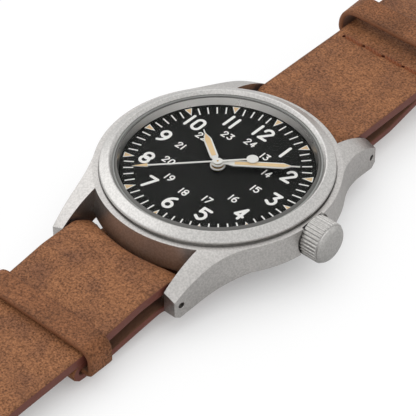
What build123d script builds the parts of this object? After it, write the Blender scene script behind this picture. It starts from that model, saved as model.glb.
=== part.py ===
from build123d import *
import math
import os

# Field watch: hand-wound, steel case, one-piece leather strap with an under strap.
# Frame: +Z out of the dial, +Y to 12 o'clock, +X to the crown.
# The origin is on the surface that the strap rests on, under the centre of the case.
# Heights whose names end in _up are measured from the outer face of the case back.

# Case and lugs
case_d = 38.0
lug_inset = 9.0
lug_reach = 3.6
lug_tip_w = 1.9
lug_tip_flare = 0.15
lug_side_slope = 0.18
lug_blend_r = 20.0
lug_top_len = 6.9
lug_bow = 0.62
lug_slope_in = 6.5
lug_root_in = 12.1
bar_in = 1.2
bar_hole_d = 1.0
ring_in = 0.45
foot_in = 2.7
case_wall = 4.8
edge_break = 0.12
fit_gap = 0.02
run_gap = 0.03
overrun = 1.0
lug_gap = case_d - 2 * lug_inset
lug_span = case_d + 2 * lug_reach
bar_span = lug_span - 2 * bar_in
bar_y = bar_span / 2
ring_d = case_d - 2 * ring_in
foot_d = case_d - 2 * foot_in
cavity_d = case_d - 2 * case_wall
lug_top_end_r = case_d / 2 + lug_top_len
lug_slope_y = lug_span / 2 - lug_slope_in
lug_root_y = lug_span / 2 - lug_root_in

# Leather thicknesses set how high the case lies
strap_t = 1.5
under_t = 1.1
keeper_t = 0.9
leather_gap = 0.05
back_z = under_t + strap_t + 2 * leather_gap

# Levels of the case, from the outer face of its back
case_h = 9.6
ring_up = 8.05
flank_up = 3.8
belly_up = 3.75
foot_up = 1.5
lug_top_end_up = 3.6
lug_low_up = 0.6
lug_toe_up = 1.2
bar_up = 2.85
crown_up = 5.4

# Bezel, flange and crystal
groove_in = 0.93
bezel_gap = 0.07
bezel_w = 2.0
bezel_crest_w = 0.5
bezel_lip = 0.6
dial_bore_in = 3.7
crystal_seat_w = 0.27
flange_low_w = 0.7
flange_high_w = 0.2
gasket_t = 0.23
bezel_floor_up = 7.65
bezel_lip_up = 8.35
bezel_edge_up = 8.74
bezel_in_up = 9.04
crystal_seat_up = 8.5
crystal_edge_t = 0.7
crystal_bevel = 0.42
crystal_dome = 0.5
groove_d = ring_d - 2 * groove_in
bezel_d = groove_d - 2 * bezel_gap
bezel_neck_d = bezel_d - 2 * bezel_lip
bezel_in_d = bezel_d - 2 * bezel_w
bezel_crest_d = bezel_in_d + 2 * bezel_crest_w
crystal_d = bezel_in_d - 2 * crystal_seat_w
dial_bore_d = case_d - 2 * dial_bore_in
flange_low_d = dial_bore_d - 2 * flange_low_w
flange_high_d = dial_bore_d - 2 * flange_high_w

# Case back
back_rim = 1.3
back_plug_wall = 0.5
back_plug_up = 2.6
back_floor_up = 1.2
back_wall = 1.6
back_notches = 6
back_notch_w = 2.0
back_notch_depth = 0.45
back_gasket_w = 0.7
back_gasket_t = 0.5
back_plug_d = cavity_d + 2 * back_plug_wall
back_d = back_plug_d + 2 * back_rim

# Crown and stem
crown_d = 6.4
crown_recess = 0.95
crown_recess_clear = 0.25
crown_gap = 0.2
crown_flute_len = 3.05
crown_cap_len = 0.85
crown_cap_d = 5.9
crown_face_d = 4.3
crown_flutes = 34
crown_flute_r = 0.2
crown_bore_d = 2.9
crown_bore_len = 2.55
crown_pull = 0.9
tube_d = 2.5
tube_bore_d = 1.8
tube_gap = 0.2
tube_out = 0.7
stem_d = 1.0
stem_hold = 0.4
oring_in = 0.8
oring_w = 0.5
crown_recess_x = case_d / 2 - crown_recess
crown_base_x = crown_recess_x + crown_gap
crown_flute_x = crown_base_x + crown_flute_len
crown_end_x = crown_flute_x + crown_cap_len
crown_bore_x = crown_base_x + crown_bore_len
tube_in_x = cavity_d / 2 + tube_gap
tube_out_x = case_d / 2 + tube_out
stem_out_x = crown_bore_x + stem_hold
oring_x = case_d / 2 - oring_in

# Movement levels, from the case back
movement_ring_w = 1.4
plate_low_up = 5.5
plate_high_up = 6.5
bridge_low_up = 3.4
bridge_high_up = 3.9
ring_low_up = 3.45
dial_low_up = 6.95
dial_t = 0.4
dial_up = dial_low_up + dial_t
dial_rim_gap = 0.1
dial_hole_d = 1.9
print_t = 0.03
staff_r = 0.12
jewel_d = 0.8
jewel_t = 0.3
jewel_gap = 0.02
pillar_r = 0.5
screw_head_t = 0.3
screw_slot_w = 0.15
screw_slot_t = 0.1
movement_d = cavity_d - 2 * movement_ring_w
dial_d = dial_bore_d - 2 * dial_rim_gap

# Going train: teeth, modules as shares of the movement's width, and directions
barrel_teeth = 84
centre_pinion_teeth = 12
centre_teeth = 80
third_pinion_teeth = 10
third_teeth = 75
fourth_pinion_teeth = 10
fourth_teeth = 96
escape_pinion_teeth = 8
escape_teeth = 15
cannon_teeth = 10
minute_teeth = 30
minute_pinion_teeth = 8
hour_teeth = 32
ratchet_teeth = 40
crown_wheel_teeth = 24
tooth_tip_share = 0.75
tooth_root_share = 1.05
tooth_foot_share = 0.3
tooth_land_share = 0.13
barrel_module_share = 0.00508
centre_module_share = 0.00352
fourth_module_share = 0.00273
winding_module_share = 0.0078
barrel_angle = 60
third_angle = 200
escape_angle = -60
minute_wheel_angle = 120
barrel_module = movement_d * barrel_module_share
centre_module = movement_d * centre_module_share
fourth_module = movement_d * fourth_module_share
motion_module = barrel_module
winding_module = movement_d * winding_module_share
barrel_dist = barrel_module * (barrel_teeth + centre_pinion_teeth) / 2
third_dist = centre_module * (centre_teeth + third_pinion_teeth) / 2
third_module = 2 * third_dist / (third_teeth + fourth_pinion_teeth)
escape_dist = fourth_module * (fourth_teeth + escape_pinion_teeth) / 2
minute_dist = motion_module * (cannon_teeth + minute_teeth) / 2
hour_module = 2 * minute_dist / (minute_pinion_teeth + hour_teeth)

# Wheel levels, from the case back
wheel_t = 0.14
fourth_up = 3.96
fourth_pinion_up = 4.15
third_up = 4.2
barrel_up = 4.2
barrel_teeth_up = 4.9
barrel_top_up = 5.1
centre_pinion_up = 4.85
centre_up = 5.25
third_pinion_up = 5.2
escape_pinion_up = 3.93
escape_up = 4.95
pinion_t = 0.25
fork_up = 4.9
fork_t = 0.2
pallet_bridge_up = 4.6
pallet_bridge_t = 0.2
balance_up = 4.05
balance_t = 0.35
roller_up = 4.88
roller_t = 0.25
hairspring_up = 3.72
hairspring_t = 0.18
cock_up = 3.2
cock_t = 0.4
minute_wheel_up = 6.53
minute_wheel_t = 0.1
minute_pinion_t = 0.2
hour_wheel_up = 6.73
hour_wheel_t = 0.12
cannon_up = 6.52
cannon_t = 0.14
winding_up = 3.1
winding_t = 0.25
crown_ring_up = 4.13

# Places in the movement, as shares of its width
balance_place_shares = (0.2305, -0.2305)
balance_r_share = 0.164
escape_r_share = 0.0781
pallet_dist_share = 0.0977
pallet_bridge_share = 0.1133
crown_wheel_y_share = 0.09375
sliding_x_share = 0.2617
winding_x_share = 0.3125
stem_in_share = 0.246
barrel_drum_share = 0.1992
hairspring_out_share = 0.082
barrel_pillar_shares = ((-0.41, 0.137), (-0.164, 0.414), (0.383, 0.242))
train_pillar_shares = ((-0.41, -0.137), (-0.215, -0.371), (-0.031, -0.398))
cock_pillar_shares = (0.426, -0.152)
setting_place_shares = (0.418, -0.074)
crossing_place_share = 0.58
crossing_size_share = 0.24
few_sides = 12
staff_sides = 16
fine_sides = 24
drum_sides = 48
balance_rim_w = 0.5
balance_arm_w = 0.5
roller_r = 0.5
escape_depth = 0.4
pallet_gap = 0.22
stone_angle = 38
crown_post_r = 0.5
crown_screw_r = 0.25
sliding_len = 1.2
winding_len = 1.5
winding_pinion_r = 1.27
sliding_pinion_r = 0.9
winding_cut = 12
bridge_edge_y = 1.0
bridge_slit = 0.12
click_r = 0.6
click_angle = 150
click_tilt = 8
click_beak_len = 1.3
click_arm_len = 1.6
click_arm_w = 0.18
setting_len = 0.9
setting_w = 0.45
setting_t = 0.4
barrel_wall = 0.25
barrel_arbor_r = 0.8
mainspring_turns = 9
mainspring_w = 0.14
hairspring_turns = 7
hairspring_w = 0.07
hairspring_in_r = 0.55
balance_x, balance_y = (movement_d * share for share in balance_place_shares)
balance_r = movement_d * balance_r_share
escape_r = movement_d * escape_r_share
pallet_dist = movement_d * pallet_dist_share
pallet_bridge_len = movement_d * pallet_bridge_share
crown_wheel_y = movement_d * crown_wheel_y_share
sliding_x = movement_d * sliding_x_share
winding_x = movement_d * winding_x_share
stem_in_x = movement_d * stem_in_share
barrel_drum_r = movement_d * barrel_drum_share
hairspring_out_r = movement_d * hairspring_out_share

# Hands: the time shown is 10:08:37, and lengths are shares of the dial's width
hour_angle = 304.0
minute_angle = 52.9
seconds_angle = 223.3
hour_hand_up = 7.65
minute_hand_up = 8.15
seconds_hand_up = 8.48
hand_t = 0.15
seconds_t = 0.1
lume_t = 0.04
hour_len_share = 0.2796
minute_len_share = 0.4
seconds_len_share = 0.4145
seconds_tail_share = 0.1694
seconds_lume_share = 0.3388
hour_plan_shares = (0.15, 0.24, 0.72, 0.89)
minute_plan_shares = (0.12, 0.19, 0.8, 0.89)
hour_boss_d = 2.3
minute_boss_d = 1.9
seconds_boss_d = 1.4
hour_tube_d = 1.8
cannon_d = 1.2
centre_tube_d = 0.8
centre_bore_d = 0.4
seconds_staff_d = 0.3
hand_w = 1.25
hand_frame_w = 0.2
hand_tip_w = 0.16
lume_root_share = 0.8
minute_w = 1.15
seconds_w = 0.26
seconds_disc_d = 1.8
seconds_lume_w = 0.75
hour_len = dial_d * hour_len_share
minute_len = dial_d * minute_len_share
seconds_len = dial_d * seconds_len_share
seconds_tail = dial_d * seconds_tail_share
seconds_lume_from = dial_d * seconds_lume_share

# Dial marks: radii are shares of the dial's width
tick_in_share = 0.4095
tick_out_share = 0.4589
triangle_tip_share = 0.4145
triangle_base_share = 0.46875
hour_num_share = 0.342
hour_num_side_share = 0.355
day_num_share = 0.2434
tick_w = 0.22
triangle_w = 1.2
triangle_rim = 0.13
hour_num_h = 2.35
hour_num_w = 0.48
day_num_h = 1.15
day_num_w = 0.22
digit_w_share = 0.56
knee_share = 0.6
belly_share = 0.31
stem_share = 0.72

# Spring bars
bar_d = 1.5
bar_clear = 0.3
bar_pin_d = 0.9
bar_pin_len = 4.0
bar_pin_reach = 0.9
bar_len = lug_gap - 2 * bar_clear

# Strap: places along it are measured from the spring bars, heights from the table
strap_clear = 0.45
strap_level_z = 7.45
strap_level_6_z = 7.25
strap_bend_z = 5.2
buckle_len = 59.6
strap_flat_share = 0.547
strap_bend_share = 0.748
strap_meet_share = 0.832
strap_part_share = 0.956
fold_end_share = 0.597
stitch_share = 0.3054
fold_stitch_share = 0.639
wrap_drop = 0.75
wrap_corner_r = 1.3
wrap_bend_r = 0.8
wrap_foot_r = 2.0
fold_bend_r = 12.0
buckle_z = 2.4
buckle_bar_d = 1.6
tail_runs = ((5.6, 7.2), (9.2, 6.65), (14.6, 5.95), (28.6, 5.45), (58.6, 3.9), (90.6, 0.75))
tail_radii = (12.0, 20.0, 20.0, 40.0, 60.0, 60.0)
tail_len = 119.6
tail_point_len = 9.0
tail_slots = 7
tail_slot_pitch = 7.0
tail_first_slot = 30.0
tail_slot_d = 1.9
tail_shoulder_share = 0.82
under_clear = 0.6
under_flat_out = 0.7
under_rise_len = 2.1
under_rise_z = 4.05
under_slope_share = 0.136
under_slope_z = 4.3
under_rise_6 = (0.6, 3.6)
under_slope_6 = (6.0, 3.1)
under_low_len = 12.5
under_land_share = 0.285
under_leave_share = 0.3205
under_end_share = 0.513
under_step = 1.1
under_bend_r = 4.0
under_step_r = 1.0
end_keeper_len = 14.9
end_keeper_w = 4.3
end_keeper_out = 1.65
end_keeper_top = 7.95
end_flap_z = 4.47
end_flap_len = 12.2
fixed_keeper_share = 0.3792
fixed_keeper_w = 4.0
fixed_keeper_out = 1.75
fixed_keeper_top = 11.0
fixed_keeper_lean = 1.1
keeper_corner_r = 2.2
keeper_low_r = 1.1
thread_w = 0.7
thread_t = 0.3
thread_len_share = 0.172
stitch_pitch_share = 0.202
stitch_count = 4
strap_flat_len = buckle_len * strap_flat_share
strap_bend_len = buckle_len * strap_bend_share
strap_meet_len = buckle_len * strap_meet_share
strap_part_len = buckle_len * strap_part_share
fold_end_len = buckle_len * fold_end_share
stitch_len_out = buckle_len * stitch_share
fold_stitch_len = buckle_len * fold_stitch_share
under_slope_len = buckle_len * under_slope_share
under_land_len = buckle_len * under_land_share
under_leave_len = buckle_len * under_leave_share
under_end_len = buckle_len * under_end_share
fixed_keeper_len = buckle_len * fixed_keeper_share
strap_w = lug_gap - 2 * strap_clear
under_w = lug_gap - 2 * under_clear
buckle_y = bar_y + buckle_len
tail_y = -bar_y - tail_len
end_keeper_y = -bar_y - end_keeper_len
fixed_keeper_y = bar_y + fixed_keeper_len
end_keeper_half = strap_w / 2 + end_keeper_out
fixed_keeper_half = strap_w / 2 + fixed_keeper_out

# Buckle
buckle_side = 0.75
buckle_reach = 11.5
buckle_droop = 7.2
buckle_rod_w = 2.4
buckle_rod_t = 2.0
buckle_eye_d = 3.4
buckle_round_r = 0.5
tongue_w = 2.0
tongue_t = 1.1
tongue_slot_w = 3.2
tongue_ring_d = 3.2
buckle_in_w = strap_w + 2 * buckle_side


def up(height):
    """Height above the table of a level that is measured from the case back."""
    return back_z + height


def rod(radius, low, high, x=0, y=0):
    """Upright round rod between two levels."""
    return Pos(x, y, (low + high) / 2) * Cylinder(radius, high - low)


def pipe(r_out, r_in, low, high, x=0, y=0):
    """Upright round tube between two levels."""
    bore = rod(r_in, low - overrun, high + overrun, x, y)
    return rod(r_out, low, high, x, y) - bore


def faceted(radius, low, high, x=0, y=0, sides=staff_sides):
    """Upright flat-sided rod, which stands for a very small turned one."""
    face = RegularPolygon(radius, sides)
    return Pos(x, y, low) * extrude(face, high - low)


def faceted_pipe(r_out, r_in, low, high, x=0, y=0, sides=fine_sides):
    """Upright flat-sided tube."""
    face = RegularPolygon(r_out, sides) - RegularPolygon(r_in, sides)
    return Pos(x, y, low) * extrude(face, high - low)


def slab(x0, x1, y0, y1, low, high):
    """Box between stated limits."""
    centre = ((x0 + x1) / 2, (y0 + y1) / 2, (low + high) / 2)
    return Pos(*centre) * Box(x1 - x0, y1 - y0, high - low)


def turned(points, about=Axis.Z):
    """Solid of revolution about Z from a closed outline of (radius, height)."""
    outline = Polyline(*[(r, 0, z) for r, z in points], close=True)
    return revolve(make_face(outline), about)


def turned_x(points):
    """Solid of revolution about the crown's axis from (x, radius) points."""
    outline = Polyline(*[(x, r, 0) for x, r in points], close=True)
    return Pos(0, 0, up(crown_up)) * revolve(make_face(outline), Axis.X)


def polar(distance, degrees):
    """Point at a distance and an angle from +X."""
    angle = math.radians(degrees)
    return distance * math.cos(angle), distance * math.sin(angle)


def save(name, shape):
    """Write one sub-part."""
    export_step(shape, f"parts/{name}.step")


def spread(pairs):
    """Places in the movement from shares of its width."""
    return [(movement_d * x, movement_d * y) for x, y in pairs]


barrel_x, barrel_y = polar(barrel_dist, barrel_angle)
third_x, third_y = polar(third_dist, third_angle)
escape_x, escape_y = polar(escape_dist, escape_angle)
minute_x, minute_y = polar(minute_dist, minute_wheel_angle)
crown_wheel_dist = winding_module * (ratchet_teeth + crown_wheel_teeth) / 2
crown_wheel_x = barrel_x + math.sqrt(crown_wheel_dist**2 - (barrel_y - crown_wheel_y) ** 2)
fork_angle = math.degrees(math.atan2(balance_y - escape_y, balance_x - escape_x))
fork_dx, fork_dy = polar(pallet_dist, fork_angle)
pallet_x, pallet_y = escape_x + fork_dx, escape_y + fork_dy
barrel_pillars, train_pillars = spread(barrel_pillar_shares), spread(train_pillar_shares)
cock_pillar, setting_place = spread((cock_pillar_shares, setting_place_shares))
bar_z = up(bar_up)


# Case


def case_outline(radius, tip_x):
    """Plan of the case: a circle with four lugs that blend into it."""
    tip_y = lug_span / 2
    length = math.hypot(1, lug_side_slope)
    along = (lug_side_slope / length, -1 / length)
    away = (1 / length, lug_side_slope / length)
    blend_x = tip_x + lug_blend_r * away[0]
    blend_y = tip_y + lug_blend_r * away[1]
    reach = radius + lug_blend_r
    dot = blend_x * along[0] + blend_y * along[1]
    slide = -dot - math.sqrt(dot**2 - (blend_x**2 + blend_y**2 - reach**2))
    centre = (blend_x + slide * along[0], blend_y + slide * along[1])
    on_line = (tip_x + slide * along[0], tip_y + slide * along[1])
    share = radius / reach
    on_case = (centre[0] * share, centre[1] * share)
    start = math.degrees(math.atan2(on_case[1] - centre[1], on_case[0] - centre[0])) % 360
    end = math.degrees(math.atan2(on_line[1] - centre[1], on_line[0] - centre[0])) % 360
    mid_x, mid_y = polar(lug_blend_r, (start + end) / 2)
    middle = (centre[0] + mid_x, centre[1] + mid_y)
    inner = lug_gap / 2
    notch = math.sqrt(radius**2 - inner**2)

    def corner(point, sx, sy):
        return point[0] * sx, point[1] * sy

    def side(sx, sy):
        return [
            ThreePointArc(corner(on_case, sx, sy), corner(middle, sx, sy), corner(on_line, sx, sy)),
            Line(corner(on_line, sx, sy), corner((tip_x, tip_y), sx, sy)),
            Line(corner((tip_x, tip_y), sx, sy), corner((inner, tip_y), sx, sy)),
            Line(corner((inner, tip_y), sx, sy), corner((inner, notch), sx, sy)),
        ]

    edges = []
    for sx, sy in ((1, 1), (-1, 1), (-1, -1), (1, -1)):
        edges += side(sx, sy)
    for sx in (1, -1):
        edges.append(
            ThreePointArc(corner(on_case, sx, -1), (sx * radius, 0), corner(on_case, sx, 1))
        )
        edges.append(
            ThreePointArc(corner((inner, notch), -1, sx), (0, sx * radius), corner((inner, notch), 1, sx))
        )
    return make_face(Wire(edges))


def lug_keep():
    """The four lugs down to their lower edge, as a tool that spares them from the belly's cut."""
    tip = lug_span / 2
    toe = tip - lug_tip_w / 2
    slope_up = (lug_low_up + belly_up) / 2
    keep = None
    for sign in (1, -1):
        points = [
            (sign * case_d / 4, up(ring_up)),
            (sign * (tip + overrun), up(ring_up)),
            (sign * (tip + overrun), up(lug_toe_up)),
            (sign * tip, up(lug_toe_up)),
            (sign * toe, up(lug_low_up)),
            (sign * lug_slope_y, up(slope_up)),
            (sign * lug_root_y, up(belly_up)),
            (sign * case_d / 4, up(belly_up)),
        ]
        side = make_face(Polyline(*[(0, y, z) for y, z in points], close=True))
        for hand in (1, -1):
            bar = Pos(hand * lug_gap / 2, 0, 0) * extrude(side, case_d / 4, dir=(hand, 0, 0))
            keep = bar if keep is None else keep + bar
    return keep


def mid_case():
    """Case middle with its four lugs, turned seats and drilled holes."""
    tip_x = lug_gap / 2 + lug_tip_w
    high = Pos(0, 0, up(ring_up)) * case_outline(ring_d / 2, tip_x)
    low = Pos(0, 0, up(flank_up)) * case_outline(case_d / 2, tip_x + lug_tip_flare)
    body = loft([low, high], ruled=True)
    body += Pos(0, 0, back_z) * extrude(case_outline(case_d / 2, tip_x + lug_tip_flare), flank_up)
    ring_r, end_r = ring_d / 2, lug_top_end_r
    mid = ((ring_r + end_r) / 2, up((ring_up + lug_top_end_up) / 2 + lug_bow))
    top = [
        Line((0, 0, 0), (0, 0, up(ring_up))),
        Line((0, 0, up(ring_up)), (ring_r, 0, up(ring_up))),
        ThreePointArc((ring_r, 0, up(ring_up)), (mid[0], 0, mid[1]), (end_r, 0, up(lug_top_end_up))),
        Line((end_r, 0, up(lug_top_end_up)), (end_r, 0, 0)),
        Line((end_r, 0, 0), (0, 0, 0)),
    ]
    body &= revolve(make_face(Wire(top)), Axis.Z)
    foot_r, reach = foot_d / 2, case_d
    belly = turned(
        [
            (foot_r, 0),
            (foot_r, up(foot_up)),
            (case_d / 2, up(belly_up)),
            (reach, up(belly_up)),
            (reach, 0),
        ]
    )
    below = rod(case_d, 0, up(foot_up))
    body -= belly + below - lug_keep()
    body -= case_bores()
    for sign in (1, -1):
        hole = Cylinder(bar_hole_d / 2, lug_span, rotation=(0, 90, 0))
        body -= Pos(0, sign * bar_y, bar_z) * hole
    return body


def case_bores():
    """Everything turned out of the inside of the case."""
    bores = rod(back_plug_d / 2 + fit_gap, 0, up(back_plug_up))
    bores += rod(cavity_d / 2, up(back_plug_up), up(dial_low_up))
    bores += rod(dial_bore_d / 2, up(dial_low_up), up(bezel_floor_up))
    bores += rod(groove_d / 2, up(bezel_floor_up), up(ring_up) + overrun)
    tube_hole = turned_x(
        [
            (cavity_d / 2 - overrun, 0),
            (cavity_d / 2 - overrun, tube_d / 2 + fit_gap),
            (crown_end_x, tube_d / 2 + fit_gap),
            (crown_end_x, 0),
        ]
    )
    recess_r = crown_d / 2 + crown_recess_clear
    recess = turned_x(
        [
            (crown_recess_x, 0),
            (crown_recess_x, recess_r),
            (crown_end_x, recess_r),
            (crown_end_x, 0),
        ]
    )
    return bores + tube_hole + recess


def bezel():
    """Bezel that slopes up to a crest, with a neck that leaves a dark groove under its lip."""
    r_out, r_in, r_neck = bezel_d / 2, bezel_in_d / 2, bezel_neck_d / 2
    shape = turned(
        [
            (r_in, up(bezel_floor_up)),
            (r_neck, up(bezel_floor_up)),
            (r_neck, up(bezel_lip_up)),
            (r_out, up(bezel_lip_up)),
            (r_out, up(bezel_edge_up)),
            (bezel_crest_d / 2, up(case_h)),
            (r_in, up(bezel_in_up)),
        ]
    )
    rims = shape.edges().filter_by(GeomType.CIRCLE).sort_by(Axis.Z)
    return chamfer((rims[-1], rims[-3]), edge_break)


def crystal():
    """Crystal with parallel domed faces and a broad bevelled rim."""
    r = crystal_d / 2
    low, high = up(crystal_seat_up), up(crystal_seat_up) + crystal_edge_t
    blank = rod(r, low, high + crystal_dome)
    ball_r = (r**2 + crystal_dome**2) / (2 * crystal_dome)
    blank &= Pos(0, 0, high + crystal_dome - ball_r) * Sphere(ball_r)
    blank -= Pos(0, 0, low + crystal_dome - ball_r) * Sphere(ball_r)
    rims = [edge for edge in blank.edges() if edge.bounding_box().min.Z > high - fit_gap]
    return chamfer(rims, crystal_bevel)


def crystal_gasket():
    r_in = crystal_d / 2 + fit_gap
    return pipe(r_in + gasket_t, r_in, up(crystal_seat_up), up(bezel_in_up) - edge_break)


def flange_ring():
    """Sloping inner wall between the dial and the crystal."""
    low, high = up(dial_up), up(crystal_seat_up) - fit_gap
    r_dial = dial_bore_d / 2 - run_gap
    r_bezel = bezel_in_d / 2 - run_gap
    step = up(bezel_floor_up) + fit_gap
    return turned(
        [
            (flange_low_d / 2, low),
            (r_dial, low),
            (r_dial, step),
            (r_bezel, step),
            (r_bezel, high),
            (flange_high_d / 2, high),
        ]
    )


def case_back():
    """Press-in back with wrench notches round its rim."""
    r, plug = back_d / 2, back_plug_d / 2
    shape = turned(
        [
            (0, back_z),
            (r - foot_up / 2, back_z),
            (r, up(foot_up / 2)),
            (r, up(foot_up)),
            (plug, up(foot_up)),
            (plug, up(back_plug_up)),
            (plug - back_wall, up(back_plug_up)),
            (plug - back_wall, up(back_floor_up)),
            (0, up(back_floor_up)),
        ]
    )
    for place in PolarLocations(r, back_notches):
        notch = Box(2 * back_notch_w, back_notch_w, 2 * back_notch_depth)
        shape -= Pos(0, 0, back_z) * place * notch
    groove_high = up(foot_up) + fit_gap + back_gasket_t
    r_in = plug - back_gasket_w
    return shape - pipe(plug + overrun, r_in, up(foot_up) + fit_gap, groove_high)


def back_gasket():
    """Seal in the groove round the back's plug."""
    low = up(foot_up) + 2 * fit_gap
    r_in = back_plug_d / 2 - back_gasket_w + fit_gap
    return pipe(back_plug_d / 2, r_in, low, low + back_gasket_t - 2 * fit_gap)


def crown_tube():
    return turned_x(
        [
            (tube_in_x, tube_bore_d / 2),
            (tube_in_x, tube_d / 2),
            (tube_out_x, tube_d / 2),
            (tube_out_x, tube_bore_d / 2),
        ]
    )


def crown():
    """Fluted crown with a smooth cap and a hollow skirt."""
    r, r_cap, r_face = crown_d / 2, crown_cap_d / 2, crown_face_d / 2
    profile = [
        Line((crown_base_x, 0, 0), (crown_base_x, r - edge_break, 0)),
        Line((crown_base_x, r - edge_break, 0), (crown_base_x + edge_break, r, 0)),
        Line((crown_base_x + edge_break, r, 0), (crown_flute_x - edge_break, r, 0)),
        Line((crown_flute_x - edge_break, r, 0), (crown_flute_x, r_cap, 0)),
        Line((crown_flute_x, r_cap, 0), (crown_flute_x + 2 * edge_break, r_cap, 0)),
        ThreePointArc(
            (crown_flute_x + 2 * edge_break, r_cap, 0),
            (crown_end_x - 2 * edge_break, (r_cap + r_face) / 2, 0),
            (crown_end_x - edge_break, r_face, 0),
        ),
        Line((crown_end_x - edge_break, r_face, 0), (crown_end_x, r_cap / 2, 0)),
        Line((crown_end_x, r_cap / 2, 0), (crown_end_x, 0, 0)),
        Line((crown_end_x, 0, 0), (crown_base_x, 0, 0)),
    ]
    shape = revolve(make_face(Wire(profile)), Axis.X)
    flute = Cylinder(crown_flute_r, crown_flute_x - crown_base_x + overrun, rotation=(0, 90, 0))
    middle_x = (crown_base_x + crown_flute_x - overrun) / 2
    for number in range(crown_flutes):
        turn = Rot(360 * number / crown_flutes, 0, 0)
        shape -= turn * Pos(middle_x, 0, r + crown_flute_r / 4) * flute
    skirt_len = crown_bore_x - crown_base_x + overrun
    shape -= Pos(crown_bore_x - skirt_len / 2, 0, 0) * Cylinder(
        crown_bore_d / 2, skirt_len, rotation=(0, 90, 0)
    )
    stem_hole = Cylinder(stem_d / 2 + fit_gap, 2 * (stem_out_x - crown_bore_x), rotation=(0, 90, 0))
    shape -= Pos(crown_bore_x, 0, 0) * stem_hole
    return Pos(0, 0, up(crown_up)) * shape


def crown_gasket():
    """O-ring on the stem, inside the tube."""
    return turned_x(
        [
            (oring_x, stem_d / 2 + run_gap),
            (oring_x, tube_bore_d / 2 - run_gap),
            (oring_x + oring_w, tube_bore_d / 2 - run_gap),
            (oring_x + oring_w, stem_d / 2 + run_gap),
        ]
    )


def winding_stem():
    r = stem_d / 2
    return turned_x([(stem_in_x, 0), (stem_in_x, r), (stem_out_x, r), (stem_out_x, 0)])


def stem_pinion(start, length, radius):
    """Toothed sleeve round the stem."""
    face = Circle(radius) - Circle(stem_d / 2 + run_gap)
    for place in PolarLocations(radius, winding_cut):
        face -= place * Rectangle(radius / 2, radius / 5)
    return Pos(start, 0, up(crown_up)) * extrude(Plane.YZ * face, length)


def movement_ring():
    """Spacer between the movement and the case, open for the stem."""
    shape = pipe(
        cavity_d / 2 - run_gap, movement_d / 2 + run_gap, up(ring_low_up), up(dial_low_up) - fit_gap
    )
    return shape - Pos(cavity_d / 2, 0, up(crown_up)) * Cylinder(
        tube_d / 2 + run_gap, cavity_d / 2, rotation=(0, 90, 0)
    )


# Spring bars


def spring_bars():
    """Two hollow bars between the lugs."""
    bars = []
    for sign in (1, -1):
        shape = Cylinder(bar_d / 2, bar_len, rotation=(0, 90, 0))
        shape -= Cylinder(bar_pin_d / 2 + run_gap, bar_len + overrun, rotation=(0, 90, 0))
        bars.append(Pos(0, sign * bar_y, bar_z) * shape)
    return Compound(bars)


def bar_pin(sx, sy):
    """Sprung pin that reaches from a bar into a drilled lug."""
    outer = bar_len / 2 + bar_pin_reach
    pin = Cylinder(bar_pin_d / 2, bar_pin_len, rotation=(0, 90, 0))
    return Pos(sx * (outer - bar_pin_len / 2), sy * bar_y, bar_z) * pin


# Dial and hands


def ring_mark(place, radius, width):
    return Pos(*place) * (Circle(radius + width / 2) - Circle(radius - width / 2))


def stroke(points, width):
    """Round-ended stroke through two points, or along an arc through three."""
    if len(points) == 2:
        a, b = points
        face = SlotCenterToCenter(math.dist(a, b), width)
        tilt = math.degrees(math.atan2(b[1] - a[1], b[0] - a[0]))
        return Pos((a[0] + b[0]) / 2, (a[1] + b[1]) / 2) * Rot(0, 0, tilt) * face
    return SlotArc(ThreePointArc(*points), width)


def digit(value, high, width):
    """One numeral from round-ended strokes, with its lower left at the origin."""
    w, h, r = high * digit_w_share, high, high * digit_w_share / 2
    mid, knee, belly, stem = w / 2, high * knee_share, high * belly_share, w * stem_share
    marks = {
        0: [((0, r), (0, h - r)), ((w, r), (w, h - r)), ((0, h - r), (mid, h), (w, h - r)),
            ((0, r), (mid, 0), (w, r))],
        1: [((mid, 0), (mid, h))],
        2: [((0, h - r), (mid, h), (w, h - r)), ((w, h - r), (0, 0)), ((0, 0), (w, 0))],
        3: [((0, h), (w, h)), ((w, h), (mid, knee)), ((mid, knee), (w, belly), (mid, 0)),
            ((mid, 0), (0, r / 2))],
        4: [((stem, 0), (stem, h)), ((stem, h), (0, r)), ((0, r), (w, r))],
        5: [((0, h), (w, h)), ((0, h), (0, knee)), ((0, knee), (w, belly), (mid, 0)),
            ((mid, 0), (0, r / 2))],
        6: [((w - r / 2, h), (r / 4, h - r), (0, r))],
        7: [((0, h), (w, h)), ((w, h), (w - stem, 0))],
        8: [],
        9: [((w, h - r), (w - r / 4, r), (r / 2, 0))],
    }
    faces = [stroke(points, width) for points in marks[value]]
    if value in (6, 8):
        faces.append(ring_mark((mid, r), r, width))
    if value in (8, 9):
        faces.append(ring_mark((mid, h - r), r, width))
    whole = faces[0]
    for face in faces[1:]:
        whole += face
    return whole


def numeral(text, high, width, x, y):
    """A number centred on a point of the dial."""
    wide, gap = high * digit_w_share, 2 * width
    advances = [wide if value != "1" else width / 2 for value in text]
    left, marks = -(sum(advances) + gap * (len(text) - 1)) / 2, []
    for value, advance in zip(text, advances):
        shift = left + (advance - wide) / 2
        marks.append(Pos(x + shift, y - high / 2) * digit(int(value), high, width))
        left += advance + gap
    return marks


def dial():
    """Black dial plate."""
    return pipe(dial_d / 2, dial_hole_d / 2, up(dial_low_up), up(dial_up))


def triangle(inset):
    """Plan of the mark at three o'clock, pointing inwards, all its sides moved in by the inset."""
    tip, base, half = dial_d * triangle_tip_share, dial_d * triangle_base_share, triangle_w / 2
    side = math.hypot(base - tip, half)
    corner = half - inset * (half + side) / (base - tip)
    points = ((tip + inset * side / half, 0), (base - inset, corner), (base - inset, -corner))
    return make_face(Polyline(*points, close=True))


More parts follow.
